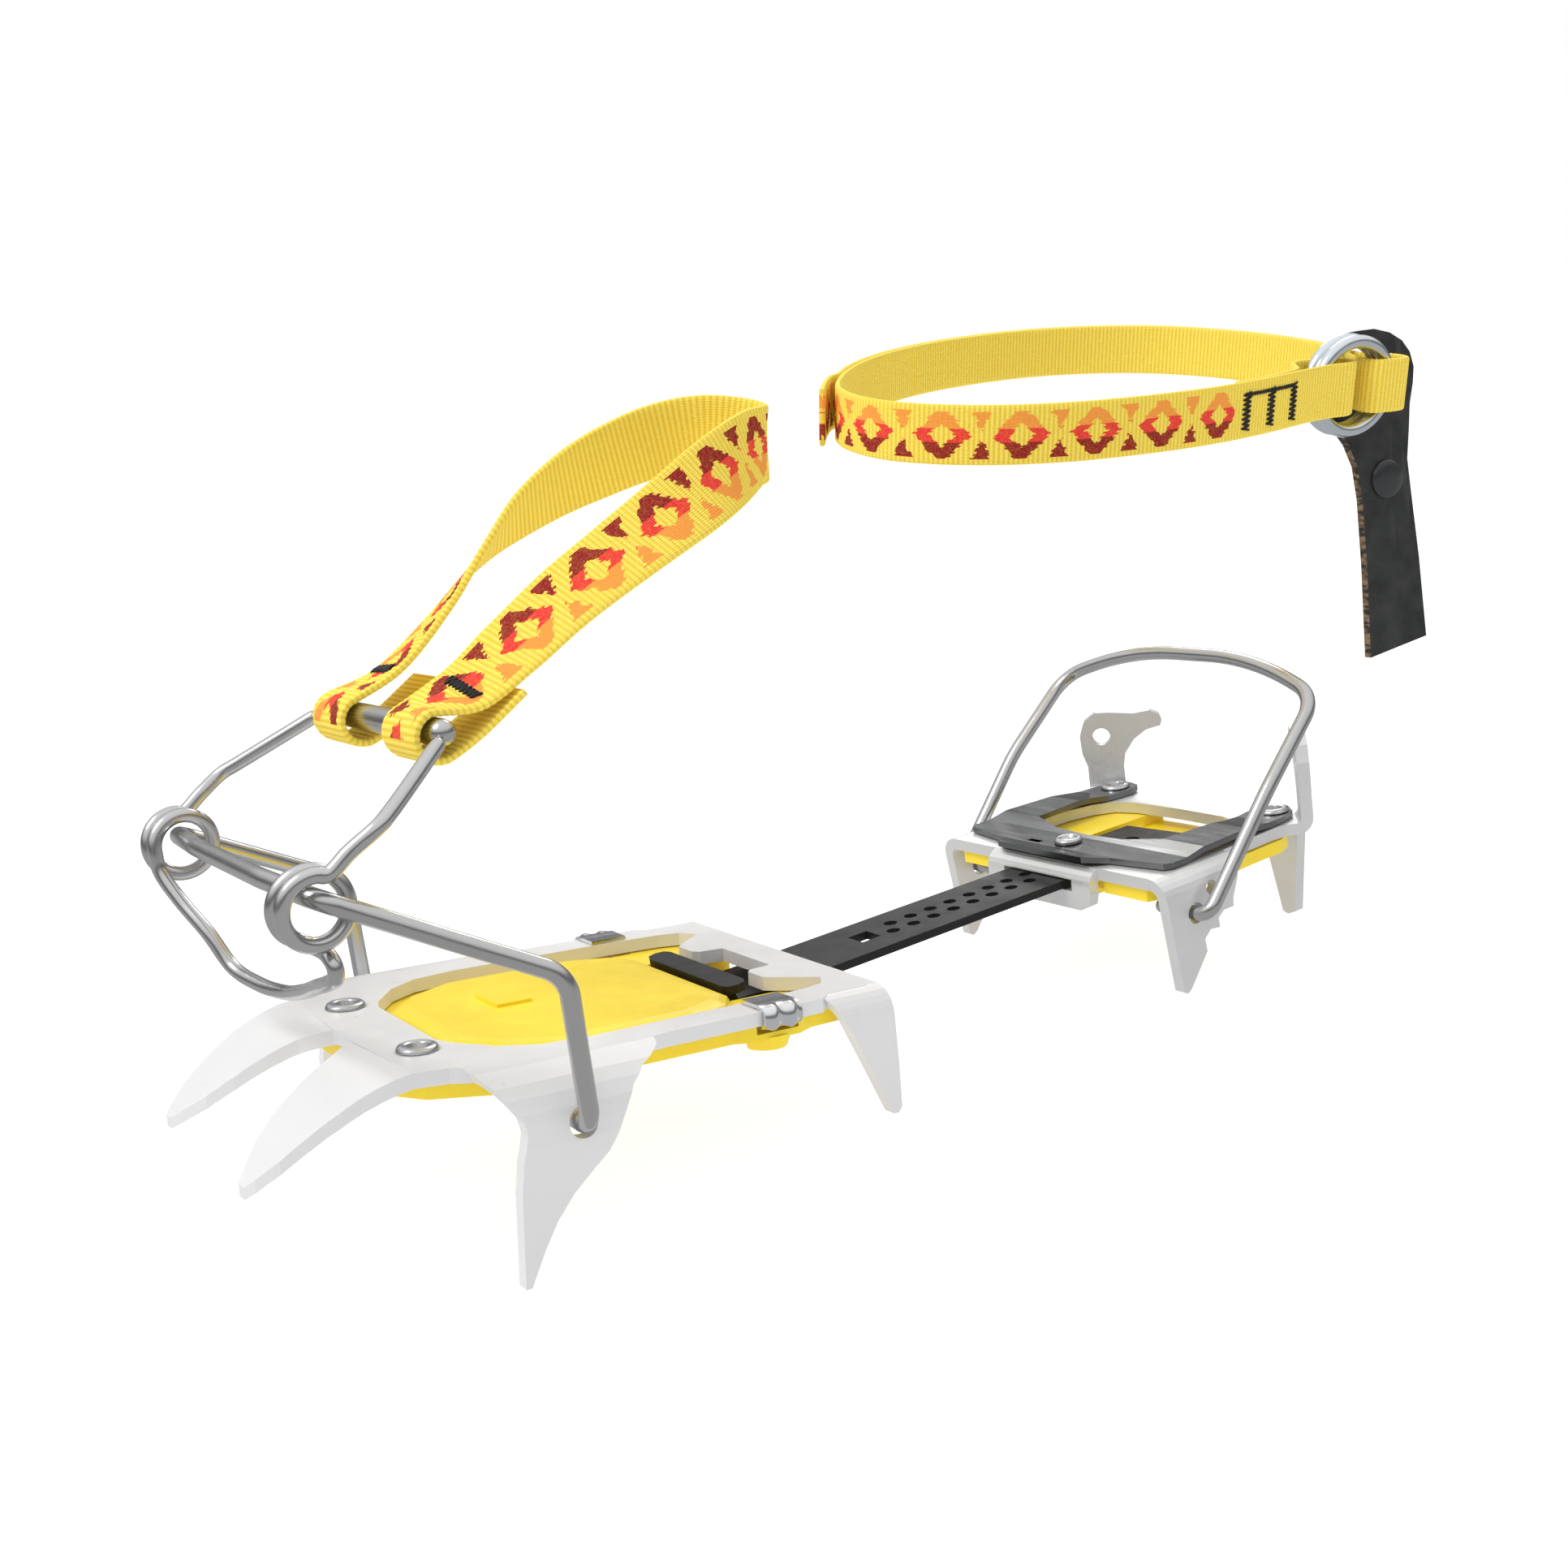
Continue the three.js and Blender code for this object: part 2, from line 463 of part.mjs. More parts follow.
// The posts turn up from the rear corners, set at 45 degrees so that their hooks point to the back of the boot.
const POST_HOLE = [-2.6, 13.4];
function heelPost(side) {
  const face = [
    [-7.4, -8], [-7.2, 5], [-8.4, 9], [-8.6, 14], [-7, 18.2], [-3.6, 20.4], [0, 20.2], [7, 19.2], [11.4, 19.6],
    [13.8, 18.4], [14.5, 16.4], [14, 15], [10, 14.2], [6.4, 11.8], [3.6, 8], [2.8, 4], [2.8, -8],
  ].map(([u, z]) => [side * u, z]);
  const rise = 9.4;
  const bend = 4.4;
  const turned = [
    [-6, HEEL_TOP], ...arc(rise - bend, HEEL_TOP - SHEET + bend, bend - SHEET, -90, 0, 4),
    [rise - SHEET, 30], [rise, 30],
    ...arc(rise - bend, HEEL_TOP - SHEET + bend, bend, 0, -90, 5), [-6, HEEL_TOP - SHEET],
  ];
  const body = solid(wide(face, -40, 40)).intersect(solid(long(turned, -40, 40)))
    .subtract(solid(drillY(side * POST_HOLE[0], POST_HOLE[1], 2.5)));
  const diagonal = Math.SQRT1_2;
  const place = basis([side * diagonal, -diagonal, 0], [diagonal, side * diagonal, 0], [0, 0, 1])
    .setPosition(HEEL_RIVET[0], side * HEEL_RIVET[1], 0);
  return solid(surface(body).applyMatrix4(place));
}

function heelPlate() {
  const plan = mirrored([
    [-5.2, 0], [-5.2, 36], [21, 36], [30, 35.4], [40, 35], [46, 35.6], [51.6, 32], [54, 28], [50, 21], [52.5, 19],
    [53, 14],
  ]);
  const flangeBend = [
    [6, HEEL_TOP], ...arc(-4.4, HEEL_TOP - 4, 4, 90, 180, 5), [-8.4, -20], [-8.4 + SHEET, -20],
    ...arc(-4.4, HEEL_TOP - 4, 4 - SHEET, 180, 90, 4), [6, HEEL_TOP - SHEET],
  ];
  const flangeFace = mirrored([[-12.4, 0], [-12.4, 15], [-11, 18], [-8, 19], [2, 19]]).map(([z, y]) => [y, z]);
  const flange = solid(wide(flangeBend, -30, 30)).intersect(solid(long(flangeFace, -20, 5)));
  const body = union([
    solid(slab(plan, HEEL_TOP - SHEET, HEEL_TOP)), flange,
    ...[1, -1].flatMap((side) => [heelSpike(side), rearHeelSpike(side), heelPost(side)]),
  ]);
  return cut(body, [
    solid(slab(heelOpening, -10, 5)), solid(box(-9, -1, -12.6, 12.6, -7.8, -4.9)),
    solid(drillY(HEEL_PIVOT[0], HEEL_PIVOT[1], HEEL_WIRE / 2 + 0.8)), solid(drillY(10.2, -7.4, 1.8)),
    ...[1, -1].map((side) => solid(drillZ(HEEL_RIVET[0], side * HEEL_RIVET[1], 2.4))),
    ...[1, -1].map((side) => solid(drillZ(3, side * 25, 1.9))), solid(drillZ(3.3, 0, 3.4)),
  ]);
}

function heelAntiball() {
  const top = HEEL_TOP - SHEET - GAP;
  const rim = mirrored([
    [-4, 0], [-4, 34], [2, 36.6], [21, 36.6], [30, 36], [42, 35.6], [47, 33.4], [49.6, 29], [49.6, 0],
  ]);
  const hollow = mirrored([[6, 0], [6, 31], [22, 34], [38, 32], [42, 20], [42, 0]]);
  const keel = mirrored([[-4, 0], [-4, 15], [39.6, 15]]);
  const body = union([solid(slab(rim, top - 3.2, top)), solid(slab(keel, -9.9, -7))]);
  return cut(body, [
    solid(slab(hollow, -20, top - 1.7)).subtract(solid(slab(keel, -20, 0))),
    solid(box(-10, 60, -12.6, 12.6, -8.1, 5)), solid(box(-10, -2, -19.5, 19.5, -20, 5)),
    ...[1, -1].map((side) => solid(drillZ(HEEL_RIVET[0], side * HEEL_RIVET[1], 5.4))),
    ...[1, -1].map((side) => solid(drillZ(3, side * 25, 1.9))),
  ]);
}

const heelRivet = (side) => rivet(HEEL_RIVET[0], side * HEEL_RIVET[1], 0, HEEL_TOP - SHEET, 4.2, 2.1, 2.3);

// Pins that hold the moulded plate under the front of the heel plate, flush on top.
function heelPin(side) {
  const low = HEEL_TOP - SHEET - GAP - 3.2 - SNUG;
  const profile = [
    [0, low - 1], [2.6, low - 1], [3, low - 0.4], [3, low], [1.7, low], [1.7, HEEL_TOP - SNUG], [0, HEEL_TOP - SNUG],
  ].map(([r, z]) => new THREE.Vector2(r, z));
  return new THREE.LatheGeometry(profile, 12).rotateX(Math.PI / 2).translate(3, side * 25, 0);
}

// The dark spring sheet whose front end lifts to free the lock pin from the bar.
function lengthSpring() {
  const thick = SPRING_THICK;
  const crown = [[-7.6, 1.1], [-6, 0.9], [-1.5, 0], [8, 0], [14, 1.1], [30, 1.1], [40, 0], [54.4, 0]];
  const profile = [...crown, ...crown.map(([x, z]) => [x, z - thick]).reverse()];
  const plan = mirrored([
    [-7.4, 0], [-7, 15.5], [-1.6, 20], [1, 35.4], [3, 36.6], [16, 36.4], [30, 35.4], [46, 34], [50.6, 32.4],
    [53.6, 28.4], [52.4, 24.4], [48.8, 22.4], [44, 22.8], [34, 24.6], [14, 23], [10.4, 12], [9.6, 0],
  ]);
  return cut(solid(wide(profile, -60, 60)).intersect(solid(slab(plan, -10, 10))), [
    ...[1, -1].map((side) => solid(drillZ(HEEL_RIVET[0], side * HEEL_RIVET[1], 2.6))),
    solid(drillZ(3.3, 0, 2.4)), solid(box(-0.6, 1, 7, 11.5, -5, 5)),
  ]);
}

// The lock pin is fixed in the spring and drops into one of the bar's holes.
function lockPin() {
  const profile = [
    [0, BAR_TOP + 0.6], [1.3, BAR_TOP + 0.6], [1.6, BAR_TOP + 1], [1.6, -SPRING_THICK - 0.1], [2.2, -SPRING_THICK - 0.1],
    [2.2, SNUG], [3.6, SNUG], [3.6, 0.9], [3, 1.4], [2.3, 1.4], [1.9, 0.6], [0, 0.6],
  ].map(([r, z]) => new THREE.Vector2(r, z));
  return new THREE.LatheGeometry(profile, 12).rotateX(Math.PI / 2).translate(3.3, 0, 0);
}

function heelBail() {
  const [x, z] = HEEL_PIVOT;
  const half = [
    [x, 30, z], [x, 45.4, z, 3.4], [27, 46, 12.8, 60], [48.4, 44.6, 31, 10], [53.4, 22, 38.4, 85],
  ];
  const other = half.map(([a, b, c, r]) => [a, -b, c, r]).reverse();
  return wire(bentRoute([...half, ...other], 8, 4), HEEL_WIRE);
}

// ---- Ankle strap (its own frame: the loop lies in the xy plane) ------------------------------------------
const RING_CENTRE = [60.6, -48.4];                   // middle of the first ring
const RING_TURN = THREE.MathUtils.degToRad(-10);     // the rings' plane, from the x axis
const RING_WIRE = 3.8;
const RING_RADIUS = 12.6;                            // to the middle of the ring's wire
const RING_PITCH = RING_WIRE + GAP;
const LAYER = WEB_THICK + GAP;                       // from one layer of webbing to the next

// A place given along the rings' plane and through it.
function byRing(along, through) {
  const [cos, sin] = [Math.cos(RING_TURN), Math.sin(RING_TURN)];
  return new THREE.Vector3(RING_CENTRE[0] + along * cos - through * sin, RING_CENTRE[1] + along * sin + through * cos, 0);
}

// The main loop: from the rings along the front, round the left side, along the back and up to the rings again.
const loop = new THREE.CatmullRomCurve3([
  byRing(-9, -3.1), byRing(-17, -4.8), ...[
    [16, -54.5], [-7, -56], [-29, -54.2], [-52, -49], [-72, -37.8], [-84.6, -20], [-83.6, 1], [-69.6, 21],
    [-44, 42], [-14, 55.4], [15, 60], [37, 58.6], [58, 50.4], [73, 36.6], [82, 10], [81, -15],
  ].map(([x, y]) => new THREE.Vector3(x, y, 0)), byRing(11, 20), byRing(7.6, 12.4),
], false, 'centripetal');

function besideLoop(part, inward) {
  const ahead = loop.getTangentAt(part);
  return loop.getPointAt(part).add(new THREE.Vector3(-ahead.y, ahead.x, 0).multiplyScalar(-inward));
}

// One strip: its sewn end, round the rings' left rims, the loop, through the rings and over their right rims, then
// back along the outside of the loop to the tail at the left.
function ankleStrap() {
  const sewn = [
    ...[0.105, 0.085, 0.065].map((part) => besideLoop(part, LAYER)), byRing(-23.6, -3.4), byRing(-20.4, 1.4),
    byRing(-17.6, 5.4), byRing(-13.5, 7.45), byRing(-9, 7.45),
    ...arc(-5.5, 2.2, 5.25, 90, -90, 8).map(([along, through]) => byRing(along, through)),
  ];
  const through = [
    [5.6, 6], [4.6, 2], [4.9, -1], [6.2, -2.7], [8.6, -3.1], [14.4, -3.1], [17, -2], [18, 0.6], [17.6, 3.6],
    [16, 6.2], [13.4, 8.2], [11.8, 10.4], [11.4, 13],
  ].map(([along, past]) => byRing(along, past));
  const rows = 44;
  const main = Array.from({ length: rows + 1 }, (_, i) => loop.getPointAt(i / rows));
  const outside = Array.from({ length: 20 }, (_, i) => besideLoop(0.955 - i * 0.026, -LAYER));
  const tail = [[-71.6, 23.4], [-81, 13.4], [-87, 6]].map(([x, y]) => new THREE.Vector3(x, y, 0));
  const places = [...sewn, ...main, ...through, ...outside, ...tail];
  return strip(places, places.map(() => new THREE.Vector3(0, 0, 1)), ANKLE_WIDTH, WEB_THICK);
}

const TACK_LIFT = 1.5;                               // its middle, out from the middle of the webbing
// The comb of black thread that sews the webbing back on itself beside the rings.
function ankleTack() {
  const bar = (x) => solid(box(x - 1.2, x + 1.2, -0.35, 0.35, -5.4, 4.6));
  const comb = union([bar(0), bar(-11), bar(-22), solid(box(-22, 0, -0.35, 0.35, 3.6, 4.6))]);
  const at = loop.getPointAt(0.05);
  const ahead = loop.getTangentAt(0.075);
  return surface(comb).applyMatrix4(new THREE.Matrix4().makeRotationZ(Math.atan2(-ahead.y, -ahead.x)))
    .translate(at.x - ahead.y * TACK_LIFT, at.y + ahead.x * TACK_LIFT, 0);
}

function ankleRing(number) {
  const torus = new THREE.TorusGeometry(RING_RADIUS, RING_WIRE / 2, 8, 24).rotateX(Math.PI / 2).rotateZ(RING_TURN);
  const at = byRing(0, number * RING_PITCH);
  return surface(solid(torus.translate(at.x, at.y, 0)));
}

// ---- Pull tab (its own frame: hanging in the xz plane behind the rings) --------------------
const TAB_BEHIND = 12;                               // from the first ring's plane to the tab's middle
const TAB_THICK = 2.6;
const SNAP = [19.9, -31];                            // x, z of the snap fastener
function pullTab() {
  const edge = [
    [32.4, 0.6], [31.2, 5], [28.4, 8.6], [24, 11.3], [18.2, 12.9], [12, 12.9], [6, 11.8], [1, 9], [-2.2, 4],
    [-2.8, -2], [-1, -8.6], [2, -13.4], [6.4, -19.4], [9.2, -26], [10.4, -36], [10.7, -56], [10.2, -83.6],
    [21, -82], [32.1, -80.4], [30.8, -56], [29, -36], [28.2, -26], [29.3, -18], [30.2, -10], [31.8, -4],
  ];
  const body = solid(wide(edge, -TAB_THICK / 2, TAB_THICK / 2));
  return cut(body, [solid(box(4.4, 16.2, -5, 5, -8.4, 9)), solid(drillY(SNAP[0], SNAP[1], 2.2))]);
}

function tabSnap() {
  return rivet(0, 0, TAB_THICK / 2, -TAB_THICK / 2, 5.8, 1.9, 5, 1.5).rotateX(Math.PI / 2).translate(SNAP[0], 0, SNAP[1]);
}

// ---- Assembly -----------------------------------------------------------------------------------------
const group = new THREE.Group();
const front = new THREE.Group();
front.rotation.y = FRONT_PITCH;
const heel = new THREE.Group();
heel.position.set(...HEEL_ORIGIN);
heel.rotation.y = HEEL_PITCH;
const ankle = new THREE.Group();
ankle.position.set(...ANKLE_CENTRE);
ankle.rotation.x = ANKLE_TILT;
const tab = new THREE.Group();
tab.position.copy(byRing(0, TAB_BEHIND)).applyEuler(ankle.rotation).add(ankle.position);
tab.rotation.z = RING_TURN;
group.add(front, heel, ankle, tab);

function place(parent, name, geometry, material) {
  const mesh = new THREE.Mesh(geometry, material);
  mesh.name = name;
  parent.add(mesh);
}

const SIDES = [['left', 1], ['right', -1]];
place(front, 'front_plate', surface(frontPlate()), whiteCoat);
place(front, 'front_antiball_plate', surface(frontAntiball()), yellowPlastic);
place(front, 'toe_bail', toeBail(), wireSteel);
place(front, 'toe_lever', toeLever(), wireSteel);
place(front, 'lever_sleeve', leverSleeve(), wireSteel);
place(front, 'toe_strap', toeStrap(), yellowWebbing);
place(heel, 'linking_bar', surface(linkingBar()), blackSteel);
place(heel, 'heel_plate', surface(heelPlate()), silverAlloy);
place(heel, 'heel_antiball_plate', surface(heelAntiball()), yellowPlastic);
place(heel, 'length_spring', surface(lengthSpring()), darkSpring);
place(heel, 'lock_pin', lockPin(), chrome);
place(heel, 'heel_bail', heelBail(), wireSteel);
place(ankle, 'ankle_strap', ankleStrap(), yellowWebbing);
place(ankle, 'ankle_strap_tack', ankleTack(), blackThread);
place(ankle, 'ankle_ring_1', ankleRing(0), zinc);
place(ankle, 'ankle_ring_2', ankleRing(1), zinc);
place(tab, 'pull_tab', surface(pullTab()), blackRubber);
place(tab, 'tab_snap', tabSnap(), blackSnap);
for (const [word, side] of SIDES) {
  place(front, `front_rivet_${word}`, rivet(0, side * RIVET_Y, 0, -6.6, 4.3, 2.3), chrome);
  place(front, `side_clip_${word}`, sideClip(side), chrome);
  place(front, `toe_strap_tack_${word}`, strapTack(side), blackThread);
  place(heel, `heel_pin_${word}`, heelPin(side), blackSteel);
  place(heel, `heel_rivet_${word}`, heelRivet(side), chrome);
}

// The origin is the middle of the floor under the whole object.
const whole = new THREE.Box3().setFromObject(group, true);
group.position.set(-(whole.min.x + whole.max.x) / 2, -(whole.min.y + whole.max.y) / 2, -whole.min.z);

export default group;
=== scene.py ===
# A strap-on crampon in a white studio: coated and alloy plates, wire bails, webbing toe and ankle straps.
# The CAD frame gives the plates and all motion. Wires, webbing, rings, rivets, clips and thread are made here.
import math

import bpy
import numpy as np
from mathutils import Matrix, Vector


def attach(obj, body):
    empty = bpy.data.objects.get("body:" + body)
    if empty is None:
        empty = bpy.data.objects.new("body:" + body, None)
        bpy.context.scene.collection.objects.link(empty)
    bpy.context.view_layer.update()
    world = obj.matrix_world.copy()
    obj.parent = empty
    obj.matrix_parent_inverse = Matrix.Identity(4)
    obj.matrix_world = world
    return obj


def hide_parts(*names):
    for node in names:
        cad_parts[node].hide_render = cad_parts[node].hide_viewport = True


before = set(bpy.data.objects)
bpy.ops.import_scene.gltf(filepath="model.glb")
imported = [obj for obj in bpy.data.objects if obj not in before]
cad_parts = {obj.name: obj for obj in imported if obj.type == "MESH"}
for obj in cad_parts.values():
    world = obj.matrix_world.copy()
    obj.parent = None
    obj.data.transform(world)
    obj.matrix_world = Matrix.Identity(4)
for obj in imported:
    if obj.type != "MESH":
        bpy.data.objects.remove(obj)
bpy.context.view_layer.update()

# ---- Where things are: sizes are in mm, as in the CAD, and are scaled once when a mesh is made --------------
MM = 0.001
ORIGIN = Vector((-155.664, -29.982, 38.116))
FRONT = Matrix.Translation(ORIGIN) @ Matrix.Rotation(math.radians(6.3), 4, "Y")
HEEL = Matrix.Translation(ORIGIN + Vector((182.7, 0, -7.1))) @ Matrix.Rotation(math.radians(-1.6), 4, "Y")
ANKLE = Matrix.Translation(ORIGIN + Vector((255, 55, 104.7))) @ Matrix.Rotation(math.atan(0.2), 4, "X")
RING_CENTRE = (60.6, -48.4)
RING_TURN = math.radians(-10)
RING_RADIUS = 12.6
RING_WIRE = 3.8
RING_PITCH = 4.1
RIVET_GAP = 0.1
TOE_WEB_WIDTH = 16.5
ANKLE_WEB_WIDTH = 15.2
WEB_THICK = 1.5
LAYER = WEB_THICK + 0.3
RIB_PITCH = 1.25
RIB_HEIGHT = 0.13
STEPS_PER_RIB = 5
SELVEDGE_WAVE = 0.05
WARP_ENDS = 15.0
THREAD = 0.58
STITCH_PITCH = 0.62


# ---- Materials -------------------------------------------------------------------------------------------
class Shader:
    """A material with a Principled shader, and short ways to add nodes to it."""

    def __init__(self, name, attribute=None):
        self.material = bpy.data.materials.new(name)
        self.material.use_nodes = True
        self.nodes = self.material.node_tree.nodes
        self.links = self.material.node_tree.links
        self.principled = self.nodes["Principled BSDF"]
        if attribute:
            source = self.nodes.new("ShaderNodeAttribute")
            source.attribute_name = attribute
            self.place = source.outputs["Vector"]
        else:
            self.place = self.nodes.new("ShaderNodeTexCoord").outputs["Object"]

    def put(self, socket, value):
        if isinstance(value, bpy.types.NodeSocket):
            self.links.new(value, socket)
        else:
            socket.default_value = value

    def noise(self, scale, detail=4.0, stretch=(1, 1, 1), offset=(0, 0, 0)):
        scaled = self.nodes.new("ShaderNodeMapping")
        scaled.inputs["Scale"].default_value = stretch
        scaled.inputs["Location"].default_value = offset
        self.put(scaled.inputs["Vector"], self.place)
        texture = self.nodes.new("ShaderNodeTexNoise")
        texture.inputs["Scale"].default_value = scale
        texture.inputs["Detail"].default_value = detail
        self.put(texture.inputs["Vector"], scaled.outputs["Vector"])
        return texture.outputs["Fac"]

    def math(self, kind, a, b=0.0):
        node = self.nodes.new("ShaderNodeMath")
        node.operation = kind
        self.put(node.inputs[0], a)
        self.put(node.inputs[1], b)
        return node.outputs[0]

    def remap(self, value, low, high, to_low=0.0, to_high=1.0):
        node = self.nodes.new("ShaderNodeMapRange")
        names = ("Value", "From Min", "From Max", "To Min", "To Max")
        for name, item in zip(names, (value, low, high, to_low, to_high)):
            self.put(node.inputs[name], item)
        return node.outputs["Result"]

    def mix(self, amount, a, b):
        node = self.nodes.new("ShaderNodeMix")
        node.data_type = "RGBA"
        self.put(node.inputs["Factor"], amount)
        self.put(node.inputs[6], a)
        self.put(node.inputs[7], b)
        return node.outputs[2]

    def axes(self):
        node = self.nodes.new("ShaderNodeSeparateXYZ")
        self.put(node.inputs["Vector"], self.place)
        return node.outputs

    def bump(self, height, distance, strength=1.0):
        node = self.nodes.new("ShaderNodeBump")
        node.inputs["Distance"].default_value = distance
        node.inputs["Strength"].default_value = strength
        self.put(node.inputs["Height"], height)
        return node.outputs["Normal"]

    def finish(self, **inputs):
        for name, value in inputs.items():
            self.put(self.principled.inputs[name.replace("_", " ")], value)
        return self.material


def rgb(*values):
    return (*values, 1.0)


def shade(color, factor):
    return rgb(*(min(1.0, c * factor) for c in color[:3]))


def painted(name, color, roughness, grain, depth, mottle, soft=0.0):
    """Powder coat or moulded plastic: fine orange peel, faint mottling and uneven gloss."""
    s = Shader(name)
    broad = s.remap(s.noise(60, 5), 0.3, 0.7)
    tone = s.mix(broad, shade(color, 1 - mottle), shade(color, 1 + mottle))
    rough = s.remap(s.noise(170, 4), 0.3, 0.7, roughness * 0.8, roughness * 1.2)
    s.put(s.principled.inputs["Subsurface Weight"], soft)
    s.put(s.principled.inputs["Subsurface Scale"], 0.002)
    return s.finish(Base_Color=tone, Roughness=rough, Normal=s.bump(s.noise(grain, 3), depth))


def metal(name, color, roughness, stretch=(1, 1, 1), grain=900, depth=0.00002, stain=0.1, attribute=None):
    """Bare metal, with drawing or rolling lines along the axis where the stretch is small."""
    s = Shader(name, attribute)
    lines = s.noise(grain, 3, stretch)
    broad = s.noise(grain * 0.05, 4, stretch)
    tone = s.mix(s.remap(broad, 0.35, 0.7), color, shade(color, 1 - stain))
    fine = s.remap(lines, 0.3, 0.7, roughness * 0.75, roughness * 1.2)
    rough = s.math("ADD", fine, s.remap(broad, 0.3, 0.7, 0, 0.05))
    return s.finish(Base_Color=tone, Metallic=1.0, Roughness=rough, Normal=s.bump(lines, depth, 0.6))


YELLOW = rgb(0.98, 0.68, 0.05)
# The yellow of the lit rib crests on the webbing, a painted highlight.
LIT_RIB_YELLOW = rgb(1.0, 0.82, 0.16)
ORANGE = rgb(0.95, 0.34, 0.06)
RED = rgb(0.85, 0.035, 0.04)
DARK_RED = rgb(0.30, 0.004, 0.014)


def webbing(name, period, corner):
    """Ribbed webbing. Its "weave" attribute is mm along, half widths across, and 1 where a pattern is woven in:
    hollow diamonds a period apart with small triangles between them, in three colours across the width."""
    s = Shader(name, "weave")
    along, across, printed = s.axes()
    # Each warp end stops on its own, so the pattern's shapes are ragged along the webbing.
    ends = s.math("FLOOR", s.math("MULTIPLY", across, WARP_ENDS))
    where = s.nodes.new("ShaderNodeCombineXYZ")
    s.put(where.inputs["X"], ends)
    s.put(where.inputs["Y"], s.math("FLOOR", s.math("DIVIDE", along, period / 2)))
    ragged = s.nodes.new("ShaderNodeTexWhiteNoise")
    ragged.noise_dimensions = "2D"
    s.put(ragged.inputs["Vector"], where.outputs["Vector"])
    stray = s.math("MULTIPLY", s.math("SUBTRACT", ragged.outputs["Value"], 0.5), 1.3)
    shifted = s.math("ADD", along, stray)
    peak = s.math("ABSOLUTE", s.math("SUBTRACT", s.math("FRACT", s.math("DIVIDE", shifted, period)), 0.5))
    off_centre = s.math("ABSOLUTE", across)

    def diamond(half_width, half_length):
        reach = s.math("ADD", s.math("DIVIDE", off_centre, half_width), s.math("DIVIDE", peak, half_length))
        return s.math("LESS_THAN", reach, 1.0)

    hollow = s.math("SUBTRACT", diamond(0.98, 0.36), diamond(0.42, 0.16))
    between = s.math("DIVIDE", s.math("SUBTRACT", 0.5, peak), corner)
    from_edge = s.math("DIVIDE", s.math("SUBTRACT", 0.86, off_centre), 0.72)
    corners = s.math("LESS_THAN", s.math("ADD", between, from_edge), 1.0)
    figure = s.math("MAXIMUM", hollow, corners)
    inside = s.math("MULTIPLY", s.math("LESS_THAN", off_centre, 0.78), s.math("GREATER_THAN", printed, 0.5))
    figure = s.math("MULTIPLY", figure, inside)
    yarn_noise = s.noise(2.4, 2, (1, 7, 1))
    tone = s.mix(s.math("GREATER_THAN", across, -0.24), DARK_RED, RED)
    tone = s.mix(s.math("GREATER_THAN", across, 0.22), tone, ORANGE)
    tone = s.mix(s.remap(yarn_noise, 0.4, 0.75, 0, 0.16), tone, YELLOW)
    # The ground yellow is painted darker in the rib valleys and lighter on the rib crests. This is painted
    # shade and a painted highlight that follow the ribs' relief.
    rib = s.math("COSINE", s.math("MULTIPLY", along, 2 * math.pi / RIB_PITCH))
    ground = s.mix(s.remap(rib, -1, 0.5), shade(YELLOW, 0.84), LIT_RIB_YELLOW)
    ground = s.mix(s.remap(yarn_noise, 0.35, 0.65, 0, 0.5), ground, YELLOW)
    ends_bump = s.math("MULTIPLY", s.math("COSINE", s.math("MULTIPLY", across, WARP_ENDS * 2 * math.pi)), 0.5)
    cloth = s.bump(s.math("ADD", yarn_noise, ends_bump), 0.0001, 0.8)
    s.put(s.principled.inputs["Specular IOR Level"], 0.25)
    return s.finish(Base_Color=s.mix(figure, ground, tone), Roughness=0.75, Normal=cloth)


def tab_leather(name):
    """Black finished faces, with brown raw fibre on the cut edges."""
    s = Shader(name)
    normal = s.nodes.new("ShaderNodeTexCoord").outputs["Normal"]
    facing = s.nodes.new("ShaderNodeVectorMath")
    facing.operation = "DOT_PRODUCT"
    s.put(facing.inputs[0], normal)
    facing.inputs[1].default_value = (-math.sin(RING_TURN), math.cos(RING_TURN), 0)
    face = s.remap(s.math("ABSOLUTE", facing.outputs["Value"]), 0.5, 0.8)
    fibre = s.noise(900, 5, (1, 0.2, 1))
    grain = s.noise(1500, 4)
    black = s.mix(s.remap(s.noise(130, 6), 0.35, 0.7), rgb(0.012, 0.013, 0.014), rgb(0.032, 0.034, 0.033))
    scuffs = s.remap(s.noise(260, 5, (1, 1, 0.12)), 0.6, 0.72, 0, 0.5)
    black = s.mix(scuffs, black, rgb(0.075, 0.075, 0.07))
    brown = s.mix(s.remap(fibre, 0.4, 0.62), rgb(0.02, 0.017, 0.015), rgb(0.22, 0.14, 0.08))
    rough = s.remap(face, 0, 1, 0.9, 0.46)
    return s.finish(Base_Color=s.mix(face, brown, black), Roughness=rough, Normal=s.bump(grain, 0.0002, 0.8))


white_coat = painted("white_coat", rgb(0.76, 0.76, 0.77), 0.34, 1300, 0.00003, 0.012)
yellow_plastic = painted("yellow_plastic", rgb(1.0, 0.74, 0.03), 0.34, 800, 0.00003, 0.03, soft=0.15)
black_steel = painted("black_steel", rgb(0.010, 0.010, 0.011), 0.42, 1800, 0.00004, 0.25)
black_steel.node_tree.nodes["Principled BSDF"].inputs["Specular IOR Level"].default_value = 0.3
black_snap = painted("black_snap", rgb(0.03, 0.032, 0.035), 0.2, 1500, 0.00002, 0.15)
black_thread = painted("black_thread", rgb(0.014, 0.014, 0.016), 0.75, 2500, 0.00006, 0.3)
silver_alloy = metal("silver_alloy", rgb(0.80, 0.805, 0.81), 0.44, (1, 0.3, 1), 1500, 0.00001, 0.05)
silver_alloy.node_tree.nodes["Principled BSDF"].inputs["Metallic"].default_value = 0.6
dark_spring = metal("dark_spring", rgb(0.20, 0.205, 0.21), 0.2, (1, 0.08, 1), 900, 0.000004, 0.12)
